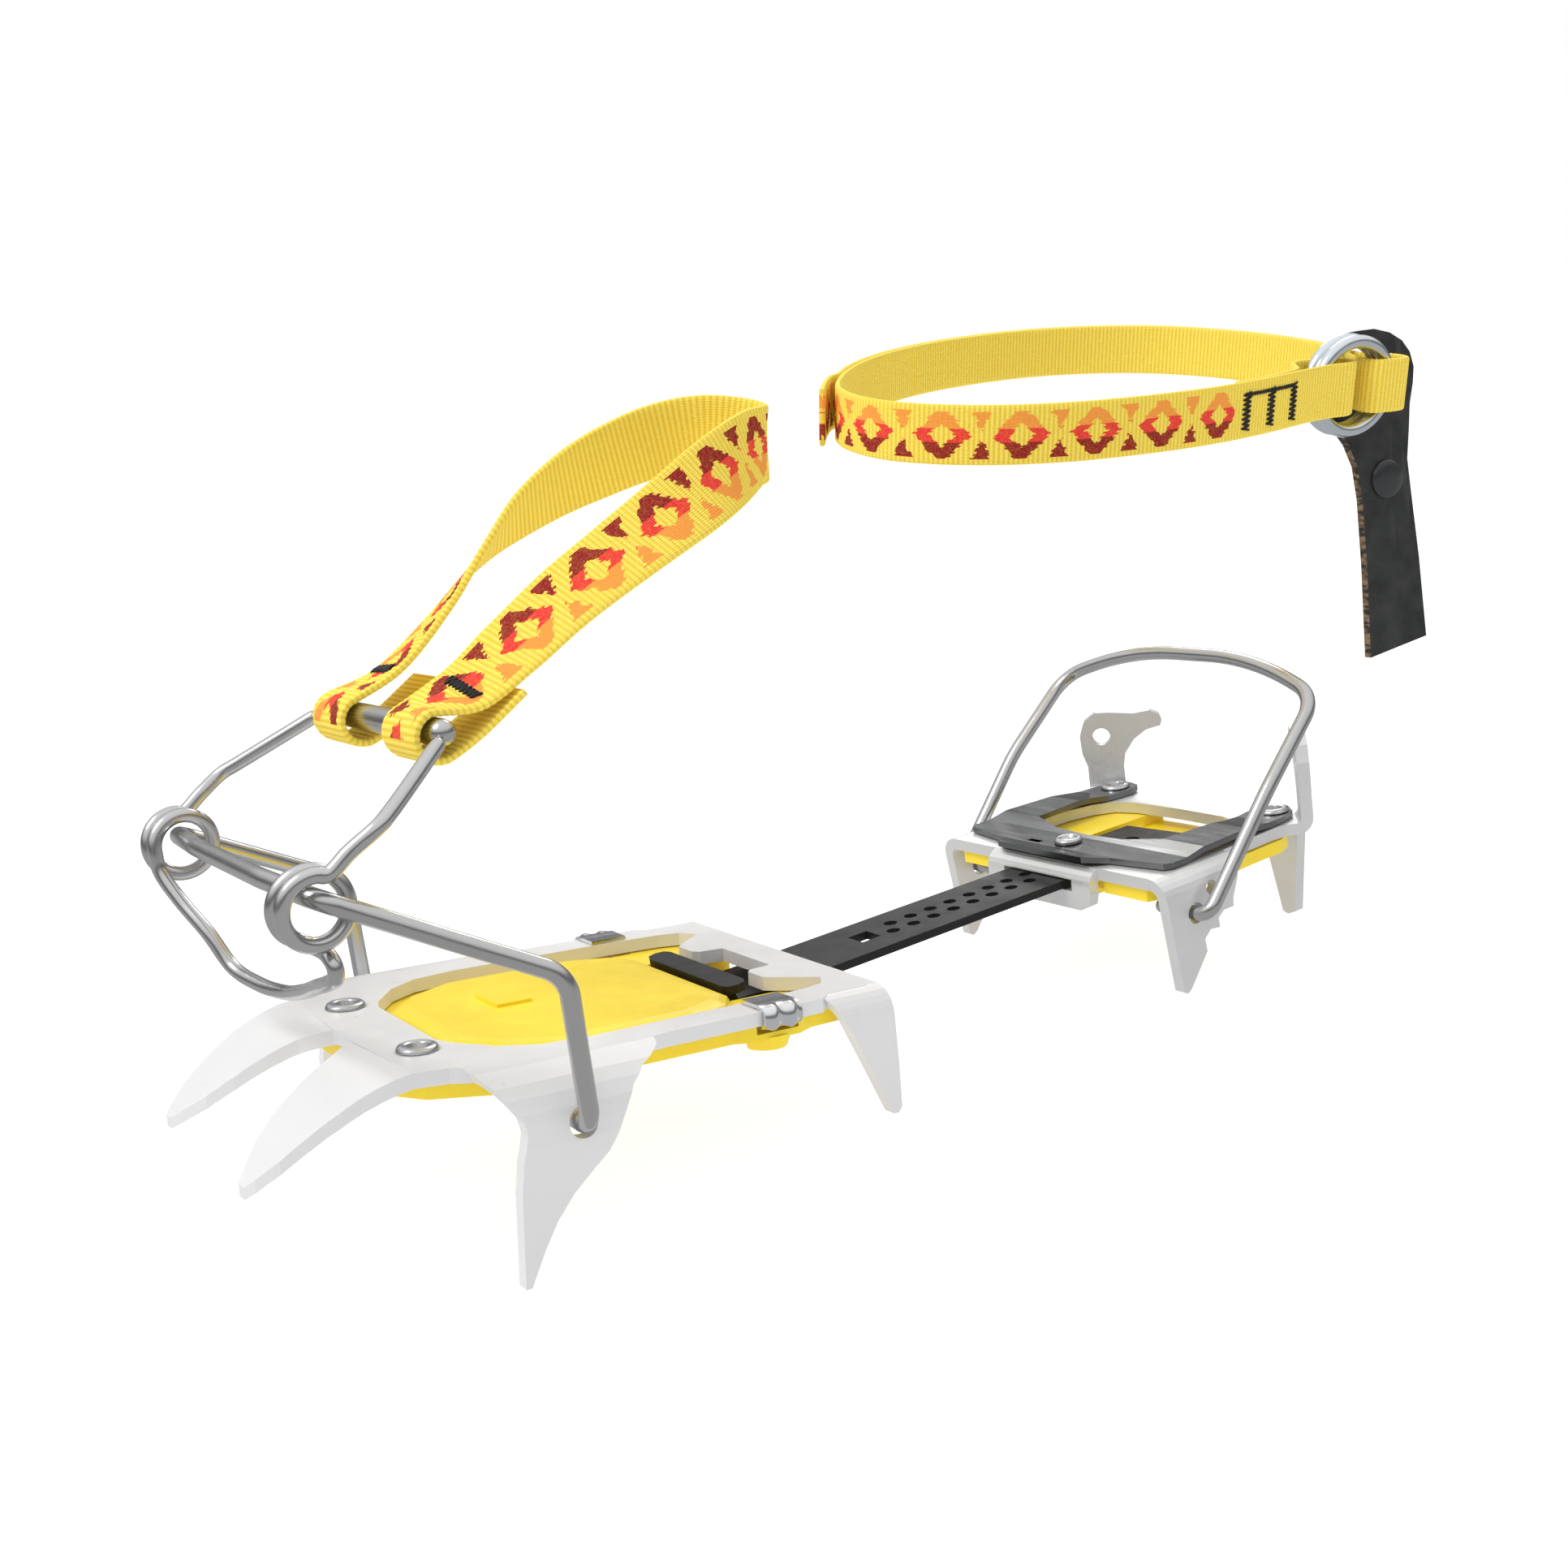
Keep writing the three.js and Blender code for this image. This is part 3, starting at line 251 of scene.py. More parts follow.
chrome = metal("chrome", rgb(0.80, 0.81, 0.83), 0.13, (1, 0.3, 1), 700, 0.000003, 0.05)
rivet_steel = metal("rivet_steel", rgb(0.56, 0.565, 0.58), 0.26, (1, 1, 1), 700, 0.000002, 0.06)
wire_steel = metal("wire_steel", rgb(0.60, 0.60, 0.605), 0.2, (0.03, 1, 1), 6, 0.00002, 0.12, "run")
zinc = metal("zinc", rgb(0.74, 0.79, 0.84), 0.17, (0.08, 1, 1), 5, 0.00002, 0.08, "run")
toe_webbing = webbing("toe_webbing", 19.0, 0.15)
ankle_webbing = webbing("ankle_webbing", 20.0, 0.14)
leather = tab_leather("black_rubber")


# ---- Routes ----------------------------------------------------------------------------------------------
def bent_route(corners, radius, steps=12):
    """Straight runs with round bends: each corner is (x, y, z) and an optional bend radius."""
    at = [Vector(c[:3]) for c in corners]
    route = [at[0]]
    for i in range(1, len(at) - 1):
        back = (at[i - 1] - at[i]).normalized()
        ahead = (at[i + 1] - at[i]).normalized()
        half = back.angle(ahead) / 2
        bend = corners[i][3] if len(corners[i]) > 3 else radius
        centre = at[i] + (back + ahead).normalized() * bend / math.sin(half)
        first = at[i] + back * bend / math.tan(half) - centre
        turn = -back.cross(ahead).normalized()
        swept = math.pi - 2 * half
        route += [Matrix.Rotation(swept * k / steps, 3, turn) @ first + centre for k in range(steps + 1)]
    return [*route, at[-1]]


def smooth(rows, step):
    """A centripetal Catmull-Rom curve through rows, whose first three columns are a place, cut every step."""
    rows = np.array(rows, float)
    rows = np.vstack([2 * rows[0] - rows[1], rows, 2 * rows[-1] - rows[-2]])
    knots = np.concatenate([[0], np.cumsum(np.linalg.norm(np.diff(rows[:, :3], axis=0), axis=1) ** 0.5)])
    fine = [rows[1]]
    for i in range(1, len(rows) - 2):
        t0, t1, t2, t3 = knots[i - 1:i + 3]
        p0, p1, p2, p3 = rows[i - 1:i + 3]
        for t in np.linspace(t1, t2, 13)[1:]:
            a1 = ((t1 - t) * p0 + (t - t0) * p1) / (t1 - t0)
            a2 = ((t2 - t) * p1 + (t - t1) * p2) / (t2 - t1)
            a3 = ((t3 - t) * p2 + (t - t2) * p3) / (t3 - t2)
            b1 = ((t2 - t) * a1 + (t - t0) * a2) / (t2 - t0)
            b2 = ((t3 - t) * a2 + (t - t1) * a3) / (t3 - t1)
            fine.append(((t2 - t) * b1 + (t - t1) * b2) / (t2 - t1))
    fine = np.array(fine)
    walked = lengths(fine)
    places = np.linspace(0, walked[-1], max(2, round(walked[-1] / step) + 1))
    return np.stack([np.interp(places, walked, column) for column in fine.T], axis=1)


def lengths(rows):
    return np.concatenate([[0], np.cumsum(np.linalg.norm(np.diff(rows[:, :3], axis=0), axis=1))])


def arc(cx, cy, radius, start, end, steps):
    angles = [math.radians(start + (end - start) * i / steps) for i in range(steps + 1)]
    return [(cx + radius * math.cos(a), cy + radius * math.sin(a)) for a in angles]


# ---- Pieces ----------------------------------------------------------------------------------------------
def piece(name, vertices, faces, place, body, material, replaced, attribute=None, values=None):
    """A mesh piece, with vertices in mm in the frame that place gives, and the CAD nodes that it replaces."""
    mesh = bpy.data.meshes.new(name)
    mesh.from_pydata([place @ Vector(v) * MM for v in vertices], [], faces)
    mesh.shade_smooth()
    if attribute:
        data = mesh.attributes.new(attribute, "FLOAT_VECTOR", "POINT").data
        data.foreach_set("vector", np.array(values, np.float32).ravel())
    mesh.validate()
    mesh.update()
    made = bpy.data.objects.new(name, mesh)
    bpy.context.scene.collection.objects.link(made)
    mesh.materials.append(material)
    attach(made, body)
    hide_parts(*replaced)
    return made


def rings_to_mesh(count, sides, closed):
    """Faces that join each ring of vertices to the next, with an end face at both ends of an open run."""
    faces = []
    for i in range(count if closed else count - 1):
        low, high = i * sides, (i + 1) % count * sides
        faces += [(low + k, low + (k + 1) % sides, high + (k + 1) % sides, high + k) for k in range(sides)]
    if not closed:
        faces += [tuple(range(sides))[::-1], tuple(range((count - 1) * sides, count * sides))]
    return faces


def tube(route, radius, sides=20, closed=False):
    """Vertices, faces and the "run" values (along, cosine and sine round it) of a wire with rounded ends."""
    points = np.array([tuple(p)[:3] for p in route], float)
    points = points[np.concatenate([[True], np.linalg.norm(np.diff(points, axis=0), axis=1) > 1e-4])]
    if closed:
        ahead = np.roll(points, -1, 0) - np.roll(points, 1, 0)
    else:
        ahead = np.gradient(points, axis=0)
    ahead /= np.linalg.norm(ahead, axis=1)[:, None]
    walked = lengths(points)
    stations = [(p, a, 1.0, w) for p, a, w in zip(points, ahead, walked)]
    if not closed:
        caps = [math.radians(d) for d in (12, 32, 52, 72)]
        near, far = [], []
        for cap in caps:
            beyond = radius * (math.cos(cap) - 0.3)
            near.append((points[0] - ahead[0] * beyond, ahead[0], math.sin(cap), 0.0))
            far.append((points[-1] + ahead[-1] * beyond, ahead[-1], math.sin(cap), walked[-1]))
        stations = [*near, *stations[1:-1], *far[::-1]]
    side = np.cross(stations[0][1], (0.3, 0.5, 0.81))
    vertices, values = [], []
    for point, direction, scale, along in stations:
        side = side - direction * side.dot(direction)
        side /= np.linalg.norm(side)
        other = np.cross(direction, side)
        for k in range(sides):
            angle = 2 * math.pi * k / sides
            c, s = math.cos(angle), math.sin(angle)
            vertices.append(point + (side * c + other * s) * radius * scale)
            values.append((along, c, s))
    return vertices, rings_to_mesh(len(stations), sides, closed), values


def wire(name, route, diameter, place, body, material, closed=False):
    vertices, faces, values = tube(route, diameter / 2, closed=closed)
    piece(name + "_wire", vertices, faces, place, body, material, [name], "run", values)


CORNER_ROUND, CORNER_SHARE = 0.22, 0.35
AXIS_HOLE = 0.02
TURNING_MARKS = 3


def turned(name, profile, place, body, material, sides=48):
    """A turned part: (radius, height) points from the bottom of its axis to the top."""
    rounded = []
    for i, (r, z) in enumerate(profile):
        if 0 < i < len(profile) - 1:
            # Each corner is broken with a small round.
            here = Vector((r, z))
            before, after = Vector(profile[i - 1]) - here, Vector(profile[i + 1]) - here
            reach = min(CORNER_ROUND, before.length * CORNER_SHARE, after.length * CORNER_SHARE)
            a, b = here + before.normalized() * reach, here + after.normalized() * reach
            rounded += [tuple(a), tuple((a + b) * 0.25 + here * 0.5), tuple(b)]
        else:
            rounded.append((max(r, AXIS_HOLE), z))
    vertices, values = [], []
    for r, z in rounded:
        for k in range(sides):
            angle = 2 * math.pi * k / sides
            vertices.append((r * math.cos(angle), r * math.sin(angle), z))
            values.append((r * TURNING_MARKS, math.cos(angle), math.sin(angle)))
    faces = rings_to_mesh(len(rounded), sides, False)
    piece(name + "_turned", vertices, faces, place, body, material, [name], "run", values)


class Webbing:
    """A strip along rows of place and width direction. Its faces are 1 and -1, and printed is a list of ranges
    (face, from, to), in mm along it, that carry the woven pattern."""

    def __init__(self, rows, width):
        self.rows = smooth(rows, RIB_PITCH / STEPS_PER_RIB)
        self.places = self.rows[:, :3]
        self.walked = lengths(self.rows)
        ahead = np.gradient(self.places, axis=0)
        self.ahead = ahead / np.linalg.norm(ahead, axis=1)[:, None]
        side = self.rows[:, 3:6]
        side = side - self.ahead * np.sum(side * self.ahead, axis=1)[:, None]
        self.side = side / np.linalg.norm(side, axis=1)[:, None]
        self.face = np.cross(self.ahead, self.side)
        self.width = width
        self.printed = []

    def mesh(self, across_points=13):
        """Vertices, faces and "weave" values, with a rib each RIB_PITCH and round selvedges."""
        flat = 1 - WEB_THICK / self.width
        top = [(a, 1.0, 1) for a in np.linspace(-flat, flat, across_points)]
        bottom = [(a, -1.0, -1) for a in np.linspace(flat, -flat, across_points)]
        turn = [math.radians(a) for a in (55, 20, -20, -55)]
        edge = [(flat + (1 - flat) * math.cos(a), math.sin(a), 0) for a in turn]
        section = [*top, *edge, *bottom, *[(-a, -b, c) for a, b, c in edge]]
        ribs = np.cos(self.walked * 2 * math.pi / RIB_PITCH)
        vertices, values = [], []
        for i, along in enumerate(self.walked):
            for a, b, way in section:
                lift = b * WEB_THICK / 2 + way * RIB_HEIGHT / 2 * ribs[i]
                reach = a * self.width / 2 + (0 if way else math.copysign(SELVEDGE_WAVE, a) * ribs[i])
                vertices.append(self.places[i] + self.side[i] * reach + self.face[i] * lift)
                shown = any(way == face and start <= along <= end for face, start, end in self.printed)
                values.append((along, a, float(shown)))
        return vertices, rings_to_mesh(len(self.walked), len(section), False), values

    def frame_at(self, along, face):
        """A matrix on one face: x along the webbing, y across it, z out of it."""
        i = int(np.argmin(abs(self.walked - along)))
        x, z = Vector(self.ahead[i]), Vector(self.face[i]) * face
        y = z.cross(x)
        where = Vector(self.places[i]) + z * (WEB_THICK / 2 + RIB_HEIGHT / 2)
        return Matrix.Translation(where) @ Matrix((x, y, z)).transposed().to_4x4()

    def nearest(self, point):
        """How far along the strap comes closest to a point."""
        return float(self.walked[np.argmin(np.linalg.norm(self.places - np.array(point), axis=1))])


def webbing_piece(body, web, place, material):
    vertices, faces, values = web.mesh()
    name = body + "_webbing"
    piece(name, vertices, faces, place, body, material, [body], "weave", values)


def satin(place, length, width):
    """Dense zigzag stitching: each stitch is a low hump of thread across the length, one width step on."""
    route = []
    count = round(width / STITCH_PITCH)
    for i in range(count + 1):
        y = -width / 2 + width * i / count
        uneven = 0.2 * math.sin(i * 2.4)
        ends = (-length / 2 + uneven, length / 2 + uneven)
        for part, height in ((0, -0.18), (0.12, 0.16), (0.5, 0.28), (0.88, 0.16), (1, -0.18)):
            x = ends[i % 2] + (ends[1 - i % 2] - ends[i % 2]) * part
            route.append(place @ Vector((x, y + width / count * part * 0.9, height)))
    return route


def stitched(name, routes, place, body):
    vertices, faces, values = [], [], []
    for route in routes:
        v, f, w = tube(route, THREAD / 2, sides=6)
        faces += [tuple(k + len(vertices) for k in face) for face in f]
        vertices += v
        values += w
    piece(name + "_thread", vertices, faces, place, body, black_thread, [name], "run", values)


# ---- Toe bail, lever and strap ---------------------------------------------------------------------------
def both_sides(half):
    """A route from its half on the left side, with each corner's bend radius kept."""
    return [*half, *[(x, -y, *rest) for x, y, *rest in reversed(half)]]


toe_bail_half = [
    (17.8, 48, -9.3), (17.8, 56, -9.3, 3.6), (14.5, 56, 19.5, 7), (-25.5, 42.8, 37.1, 6), (-27.4, 20, 37.5, 60),
]
wire("toe_bail", bent_route(both_sides(toe_bail_half), 6), 3.8, FRONT, "toe_bail", wire_steel)

# Each end of the lever's lower crosspiece, and the angle in degrees at which it becomes a coil. One end kinks
# out below its coil, the other rises to the front of its coil.
KINKED_END = (-112, [
    (-19.4, 14, 13.8), (-21, 28, 18), (-21.8, 36, 20.4), (-22, 40.6, 22.4), (-22.2, 40.8, 24.4),
    (-23, 38.4, 26.6),
])
RISING_END = (-172, [
    (-19.8, 12, 10), (-22, 21.6, 12), (-25, 26.4, 18.6), (-28.4, 33, 25), (-30.8, 37, 30.6),
])
COIL_X, COIL_Z, COIL_RADIUS = -25.1, 35.1, 6.3
COIL_FINISH = -645.6
COIL_Y, COIL_SPREAD = 37.5, 6.6
LEVER_ARM = [(-19.4, 44.4, 44.6), (-14.4, 45.2, 48.4), (-11.6, 43.6, 50.2), (2.6, 33, 60)]


def lever_half(end, side):
    start, points = end
    coil = []
    for part in np.linspace(0, 1, 31):
        angle = math.radians(start + (COIL_FINISH - start) * part)
        x, z = COIL_X + COIL_RADIUS * math.cos(angle), COIL_Z + COIL_RADIUS * math.sin(angle)
        coil.append((x, COIL_Y + COIL_SPREAD * part, z))
    return [(x, side * y, z) for x, y, z in [*points, *coil, *LEVER_ARM]]


left_half = lever_half(RISING_END, 1)
lever_route = smooth([*left_half[::-1], (-18.6, 0, 10.6), *lever_half(KINKED_END, -1)], 0.7)
wire("toe_lever", lever_route, 3, FRONT, "toe_lever", wire_steel)

SLEEVE_X, SLEEVE_Z = 4.8, 61.5
TOE_PLAIN_END = 28
sleeve = [(SLEEVE_X, y, SLEEVE_Z) for y in np.linspace(-30.4, 30.4, 30)]
wire("lever_sleeve", sleeve, 5.4, FRONT, "toe_lever", wire_steel)

LEFT_BAND = [
    (13, 17.4, 69.4, 6), (25, 18, 80, 16), (36, 18, 92.2, 32), (45, 18.4, 100, 48), (56, 19, 106.6, 60),
    (66, 18.6, 111.2, 69), (78, 16.6, 115.6, 76), (88, 12, 117.4, 82), (95, 6, 116.4, 86),
]
RIGHT_BAND = [
    (13.4, -20.8, 68, 22), (24, -20.4, 75.4, 34), (36, -20.6, 84.4, 40), (50, -20.6, 93.2, 46),
    (65, -18.8, 101.8, 56), (78, -14, 108.6, 68), (89, -7, 113, 80),
]


def toe_fold(y):
    """The sewn end, which comes back under the band and round the sleeve."""
    around = arc(SLEEVE_X, SLEEVE_Z - 0.8, 4.6, 300, 110, 12)
    back = [(SLEEVE_X + 17.6, SLEEVE_Z + 6), (SLEEVE_X + 8, SLEEVE_Z - 1.4)]
    return [(x, y, z, 0) for x, z in [*back, *around]]


def toe_rows(stops, way):
    """Rows for Webbing, from stops of a place and how far in degrees the band is turned about its length."""
    turns = [math.radians(stop[3]) for stop in stops]
    return [(*stop[:3], 0, way * math.cos(t), -math.sin(t)) for stop, t in zip(stops, turns)]


toe_web = Webbing([
    *toe_rows([*toe_fold(17.4), *LEFT_BAND], 1), *toe_rows([(96.6, 0, 114.6, 90)], -1),
    *toe_rows([*toe_fold(-21), *RIGHT_BAND][::-1], -1),
], TOE_WEB_WIDTH)
toe_web.printed = [(1, TOE_PLAIN_END, toe_web.walked[-1] - TOE_PLAIN_END)]
webbing_piece("toe_strap", toe_web, FRONT, toe_webbing)
for word, start in (("left", LEFT_BAND[0]), ("right", RIGHT_BAND[0])):
    at = toe_web.frame_at(toe_web.nearest(start[:3]), 1)
    stitched(f"toe_strap_tack_{word}", [satin(at, 2.2, 9)], FRONT, "toe_strap")

# ---- Heel bail -------------------------------------------------------------------------------------------
heel_bail_half = [
    (4.3, 30, -12.2), (4.3, 45.4, -12.2, 3.4), (27, 46, 12.8, 60), (48.4, 44.6, 31, 10), (53.4, 22, 38.4, 85),
]
wire("heel_bail", bent_route(both_sides(heel_bail_half), 8), 3.6, HEEL, "heel_bail", wire_steel)


# ---- Ankle strap and rings -------------------------------------------------------------------------------
def by_ring(along, through):
    """A place given from the rings: along the strap's way past them, and through them."""
    c, s = math.cos(RING_TURN), math.sin(RING_TURN)
    return (RING_CENTRE[0] + along * c - through * s, RING_CENTRE[1] + along * s + through * c, 0)


LOOP_STOPS = [
    (16, -54.5), (-7, -56), (-29, -54.2), (-52, -49), (-72, -37.8), (-84.6, -20), (-83.6, 1), (-69.6, 21),
    (-44, 42), (-14, 55.4), (15, 60), (37, 58.6), (58, 50.4), (73, 36.6), (82, 10), (81, -15),
]
LOOP_END = by_ring(7.6, 12.4)
loop = smooth([
    by_ring(-9, -3.1), by_ring(-17, -4.8), *[(x, y, 0) for x, y in LOOP_STOPS], by_ring(11, 20), LOOP_END,
], 0.5)


def beside_loop(part, inward):
    """A place beside the loop, at a part of the way round it."""
    i = min(round(part * (len(loop) - 1)), len(loop) - 2)
    ahead = Vector(loop[i + 1] - loop[i]).normalized()
    return tuple(Vector(loop[i]) + Vector((ahead.y, -ahead.x, 0)) * inward)


sewn = [
    *[beside_loop(part, LAYER) for part in (0.105, 0.085, 0.065)], by_ring(-23.6, -3.4), by_ring(-20.4, 1.4),
    by_ring(-17.6, 5.4), by_ring(-13.5, 7.45), by_ring(-9, 7.45),
    *[by_ring(*p) for p in arc(-5.5, 2.2, 5.25, 90, -90, 8)],
]
threaded = [by_ring(*p) for p in [
    (5.6, 6), (4.6, 2), (4.9, -1), (6.2, -2.7), (8.6, -3.1), (14.4, -3.1), (17, -2), (18, 0.6), (17.6, 3.6),
    (16, 6.2), (13.4, 8.2), (11.8, 10.4), (11.4, 13),
]]
LOOP_STEPS = 44
once_round = [tuple(loop[round(i / LOOP_STEPS * (len(loop) - 1))]) for i in range(LOOP_STEPS + 1)]
outside = [beside_loop(0.955 - i * 0.026, -LAYER) for i in range(20)]
tail = [(-71.6, 23.4, 0), (-81, 13.4, 0), (-87, 6, 0)]
UPRIGHT = (0, 0, 1)
ankle_route = [*sewn, *once_round, *threaded, *outside, *tail]
ankle_web = Webbing([(*point, *UPRIGHT) for point in ankle_route], ANKLE_WEB_WIDTH)
comb_start = ankle_web.nearest(loop[round(0.05 * (len(loop) - 1))])

# The pattern runs outside the loop from just past the comb, and on both faces of the tail's end.
COMB_TO_PATTERN, TAIL_PATTERN = 27, 46
whole = ankle_web.walked[-1]
loop_pattern = (-1, comb_start + COMB_TO_PATTERN, ankle_web.nearest(LOOP_END))
ankle_web.printed = [loop_pattern, *[(face, whole - TAIL_PATTERN, whole) for face in (1, -1)]]
webbing_piece("ankle_strap", ankle_web, ANKLE, ankle_webbing)

# The comb-shaped tack: three bars of satin stitch joined by a spine of stitches along the webbing.
COMB_STEP, COMB_BARS, COMB_HEIGHT, COMB_BAR = 11, 3, 9.6, 3.0
SPINE_STITCHES, SPINE_DROP, SPINE_SWING, SPINE_LIFT = 44, -4.2, 0.35, 0.12
bars = [ankle_web.frame_at(comb_start + COMB_STEP * i, -1) for i in range(COMB_BARS)]
comb = [satin(bar, COMB_BAR, COMB_HEIGHT) for bar in bars]
spine = []
for i in range(SPINE_STITCHES + 1):
    along = comb_start + COMB_STEP * (COMB_BARS - 1) * i / SPINE_STITCHES
    stitch = Vector((0, SPINE_DROP + SPINE_SWING * (-1) ** i, SPINE_LIFT))
    spine.append(ankle_web.frame_at(along, -1) @ stitch)
stitched("ankle_strap_tack", [*comb, spine], ANKLE, "ankle_strap")

UPEND = Matrix.Rotation(math.pi / 2, 4, "X")
RING_STEPS = 96
circle = [(x, y, 0) for x, y in arc(0, 0, RING_RADIUS, 0, 360, RING_STEPS)[:-1]]
for number in range(2):
    centre = Vector(by_ring(0, number * RING_PITCH))
    place = ANKLE @ Matrix.Translation(centre) @ Matrix.Rotation(RING_TURN, 4, "Z") @ UPEND
    wire(f"ankle_ring_{number + 1}", circle, RING_WIRE, place, "ankle_strap", zinc, closed=True)


# ---- Rivets, pins and the snap ---------------------------------------------------------------------------
def rivet_profile(top, bottom, head, shank, foot, height=1.1):
    """A hollow rivet through sheets from bottom to top, with a flange round a dished head."""
    seat, rim = bottom - RIVET_GAP, top + RIVET_GAP
    return [
        (0, seat - height), (foot, seat - height * 0.8), (foot, seat), (shank, seat), (shank, rim), (head, rim),
        (head * 0.9, rim + height * 0.75), (head * 0.72, rim + height), (head * 0.5, rim + height * 0.8),
        (head * 0.42, rim - 0.6), (0, rim - 1.4),
    ]


HEEL_TOP = -1.8
HEEL_BOTTOM = HEEL_TOP - 3
PIN_FOOT = HEEL_BOTTOM - 3.6
front_rivet = rivet_profile(0, -6.6, 4.3, 2.3, 4.3)
heel_rivet = rivet_profile(0, HEEL_BOTTOM, 4.2, 2.1, 2.3)
heel_pin = [
    (0, PIN_FOOT - 1), (2.6, PIN_FOOT - 1), (3, PIN_FOOT - 0.4), (3, PIN_FOOT), (1.7, PIN_FOOT),
    (1.7, HEEL_TOP - RIVET_GAP), (0, HEEL_TOP - RIVET_GAP),
]
for word, side in (("left", 1), ("right", -1)):
    front_place = FRONT @ Matrix.Translation((0, side * 19.5, 0))
    turned(f"front_rivet_{word}", front_rivet, front_place, "front_section", rivet_steel)
    heel_place = HEEL @ Matrix.Translation((47.8, side * 28.4, 0))
    turned(f"heel_rivet_{word}", heel_rivet, heel_place, "heel_section", rivet_steel)
    pin_place = HEEL @ Matrix.Translation((3, side * 25, 0))
    turned(f"heel_pin_{word}", heel_pin, pin_place, "heel_section", black_steel)

lock = [
    (0, -4.6), (1.3, -4.6), (1.6, -4.2), (1.6, -1.6), (2.2, -1.6), (2.2, 0.1), (3.6, 0.1), (3.6, 0.9), (3, 1.4),
    (2.3, 1.4), (1.9, 0.6), (0, 0.6),
]
turned("lock_pin", lock, HEEL @ Matrix.Translation((3.3, 0, 0)), "heel_section", rivet_steel)

snap = [
    (0, -2.9), (5, -2.6), (5, -1.4), (1.9, -1.4), (1.9, 1.4), (5.8, 1.4), (5.75, 1.9), (5.2, 2.35), (4.3, 2.65),
    (3.2, 2.87), (1.7, 2.98), (0, 3.0),
]
TAB = Matrix.Translation(ANKLE @ Vector(by_ring(0, 12))) @ Matrix.Rotation(RING_TURN, 4, "Z")
snap_place = TAB @ Matrix.Translation((19.9, 0, -31)) @ UPEND
turned("tab_snap", snap, snap_place, "pull_tab", black_snap)


# ---- Side clips: thin spring sheet with two pressed ribs ---------------------------------------------------
CLIP_THICK, CLIP_START, CLIP_END, CLIP_STEPS = 0.8, 65, 74, 36
CLIP_BEND = [
    (32.8, 0.5), (36, 0.5), (39.8, 0.5), (41, -0.1), (41.55, -1.6), (41.2, -3.0), (39.8, -3.55), (37, -3.55),
    (34.6, -3.55),
]
CLIP_RIBS, CLIP_RIB_WIDTH, CLIP_RIB_HEIGHT = (67.3, 71.7), 1.2, 0.7


def side_clip(word, side):
    middle = smooth([(0, y, z) for y, z in CLIP_BEND], 0.35)[:, 1:]
    normal = np.gradient(middle, axis=0)
    normal = np.stack([-normal[:, 1], normal[:, 0]], axis=1) / np.linalg.norm(normal, axis=1)[:, None]
    # The ribs stand out of the side and fade away on the flat top and bottom.
    on_side = np.clip((middle[:, 0] - 39.3) / 1.6, 0, 1)[:, None]
    vertices = []
    for i in range(CLIP_STEPS + 1):
        x = CLIP_START + (CLIP_END - CLIP_START) * i / CLIP_STEPS
        swell = sum(math.exp(-((x - at) / CLIP_RIB_WIDTH) ** 2) for at in CLIP_RIBS)
        rib = swell * CLIP_RIB_HEIGHT * on_side
        outer = middle + normal * (CLIP_THICK / 2 + rib)
        inner = middle - normal * (CLIP_THICK / 2 - rib * 0.6)
        vertices += [(x, side * y, z) for y, z in [*outer, *inner[::-1]]]
    faces = rings_to_mesh(CLIP_STEPS + 1, 2 * len(middle), False)
    if side < 0:
        faces = [face[::-1] for face in faces]
    node = f"side_clip_{word}"
    made = piece(node + "_sheet", vertices, faces, FRONT, "front_section", chrome, [node])
    made.data.set_sharp_from_angle(angle=math.radians(50))


side_clip("left", 1)
side_clip("right", -1)

# ---- CAD nodes that stay, with softened edges --------------------------------------------------------------
# Each one's material, and how wide its edges are softened.
KEPT = {
    "front_plate": (white_coat, 0.45),
    "front_antiball_plate": (yellow_plastic, 0.4),
    "linking_bar": (black_steel, 0.3),
    "heel_plate": (silver_alloy, 0.4),
    "heel_antiball_plate": (yellow_plastic, 0.4),
    "length_spring": (dark_spring, 0.25),
    "pull_tab": (leather, 0.3),
}
for name, (material, edge) in KEPT.items():
    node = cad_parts[name]
    for slot in node.material_slots:
        slot.material = material
    node.data.shade_smooth()
    node.data.set_sharp_from_angle(angle=math.radians(38))
    bevel = node.modifiers.new("edge", "BEVEL")
    bevel.width = edge * MM
    bevel.segments = 2
    bevel.limit_method = "ANGLE"
    bevel.angle_limit = math.radians(35)
    weighted = node.modifiers.new("flat_faces", "WEIGHTED_NORMAL")
    weighted.keep_sharp = True

# ---- Studio ----------------------------------------------------------------------------------------------
def make_floor():
    """A white floor, lit from within so that it stays white, which the metal doesn't mirror."""
    corners = [(-7, -7, 0), (7, -7, 0), (7, 7, 0), (-7, 7, 0)]
    mesh = bpy.data.meshes.new("floor")
    mesh.from_pydata(corners, [], [(0, 1, 2, 3)])
    floor = bpy.data.objects.new("floor", mesh)
    bpy.context.scene.collection.objects.link(floor)
    floor.location.z = -0.0006
    floor.visible_glossy = False
    s = Shader("floor")
    s.put(s.principled.inputs["Emission Color"], rgb(1, 1, 1))
    s.put(s.principled.inputs["Emission Strength"], 0.9)
    mesh.materials.append(s.finish(Base_Color=rgb(0.22, 0.22, 0.22), Roughness=0.9))


make_floor()
world = bpy.data.worlds.new("studio")
bpy.context.scene.world = world
world.use_nodes = True
links, nodes = world.node_tree.links, world.node_tree.nodes
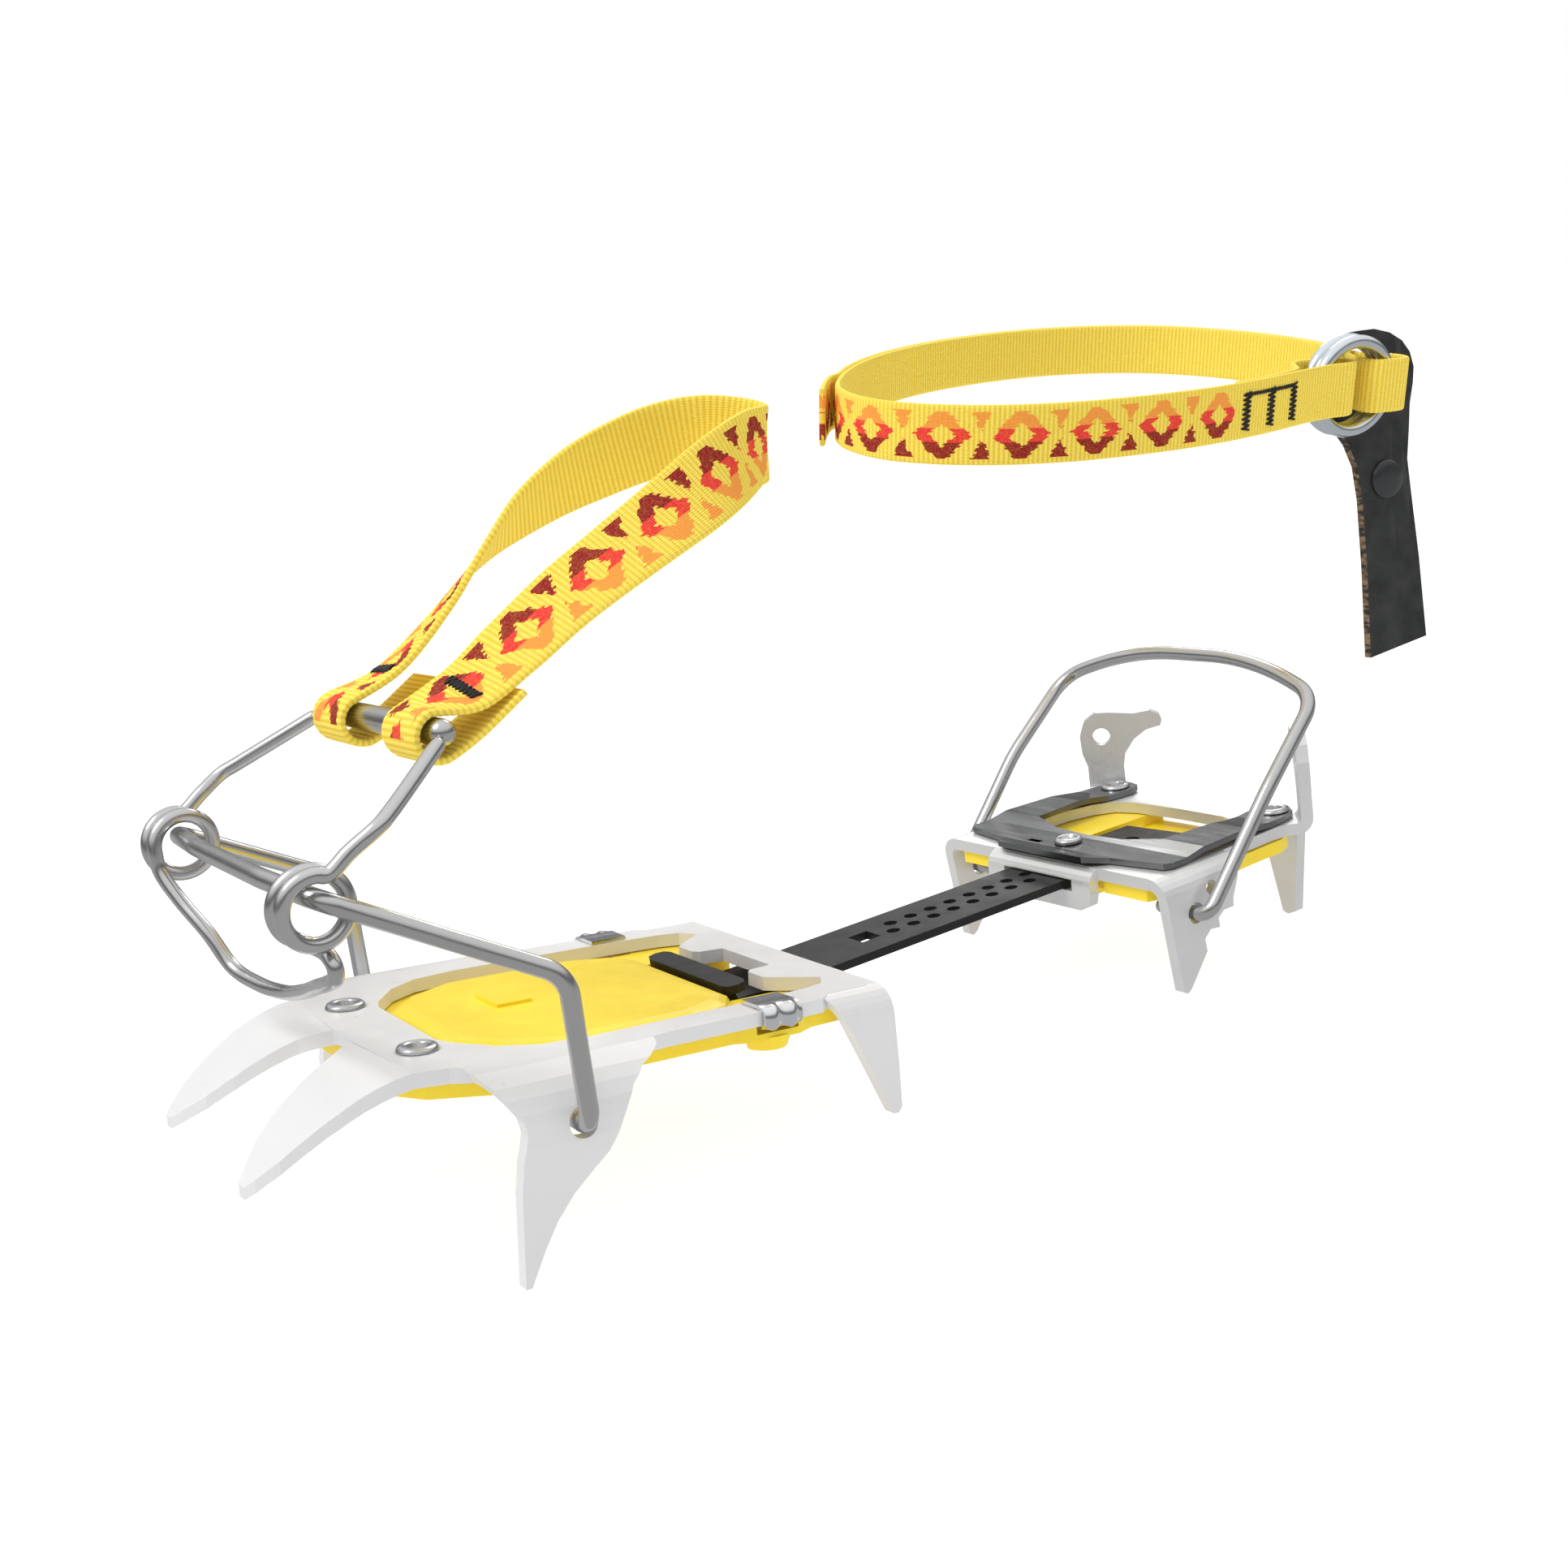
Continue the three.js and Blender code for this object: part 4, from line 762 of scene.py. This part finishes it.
# Behind the object the camera sees white; what lights it is a bright ceiling, dark walls and a grey ground.
height = nodes.new("ShaderNodeSeparateXYZ")
links.new(nodes.new("ShaderNodeTexCoord").outputs["Generated"], height.inputs["Vector"])
fade = nodes.new("ShaderNodeValToRGB")
upward = nodes.new("ShaderNodeMapRange")
upward.inputs["From Min"].default_value = -1
links.new(height.outputs["Z"], upward.inputs["Value"])
links.new(upward.outputs["Result"], fade.inputs["Fac"])
WALLS = ((0.0, 0.5), (0.46, 0.5), (0.53, 0.14), (0.62, 0.24), (0.72, 0.85), (1.0, 1.05))
while len(fade.color_ramp.elements) < len(WALLS):
    fade.color_ramp.elements.new(0.5)
for element, (position, value) in zip(fade.color_ramp.elements, WALLS):
    element.position = position
    element.color = rgb(value, value, value)
seen = nodes.new("ShaderNodeMix")
links.new(nodes.new("ShaderNodeLightPath").outputs["Is Camera Ray"], seen.inputs["Factor"])
links.new(fade.outputs["Color"], seen.inputs["A"])
seen.inputs["B"].default_value = 1.0
links.new(seen.outputs["Result"], nodes["Background"].inputs["Strength"])
nodes["Background"].inputs["Color"].default_value = rgb(1, 1, 1)


def area_light(name, centre, power):
    """A square light half a metre across that faces the middle of the object."""
    light = bpy.data.lights.new(name, "AREA")
    light.shape = "RECTANGLE"
    light.size = light.size_y = 0.5
    light.energy = power
    lamp = bpy.data.objects.new(name, light)
    bpy.context.scene.collection.objects.link(lamp)
    lamp.location = centre
    lamp.rotation_euler = (Vector(centre) - Vector((0, 0, 0.05))).to_track_quat("Z", "Y").to_euler()


area_light("key", (-0.9, 0.1, 1.2), 9)
area_light("rim", (0.9, 0.8, 0.9), 4)

camera_data = bpy.data.cameras.new("camera")
camera_data.lens = 40.99
camera_data.sensor_width = 36
camera_data.clip_start = 0.01
camera = bpy.data.objects.new("camera", camera_data)
bpy.context.scene.collection.objects.link(camera)
RIGHTWARD, UPWARD = Vector((0.8222, -0.5555, -0.1245)), Vector((0.2190, 0.1069, 0.9698))
FORWARD = Vector((0.5255, 0.8246, -0.2095))
turn = Matrix((RIGHTWARD, UPWARD, -FORWARD)).transposed().to_4x4()
camera.matrix_world = Matrix.Translation(Vector((-266.36, -364.78, 150.32)) * MM) @ turn
bpy.context.scene.camera = camera
bpy.context.scene.view_settings.view_transform = "Standard"
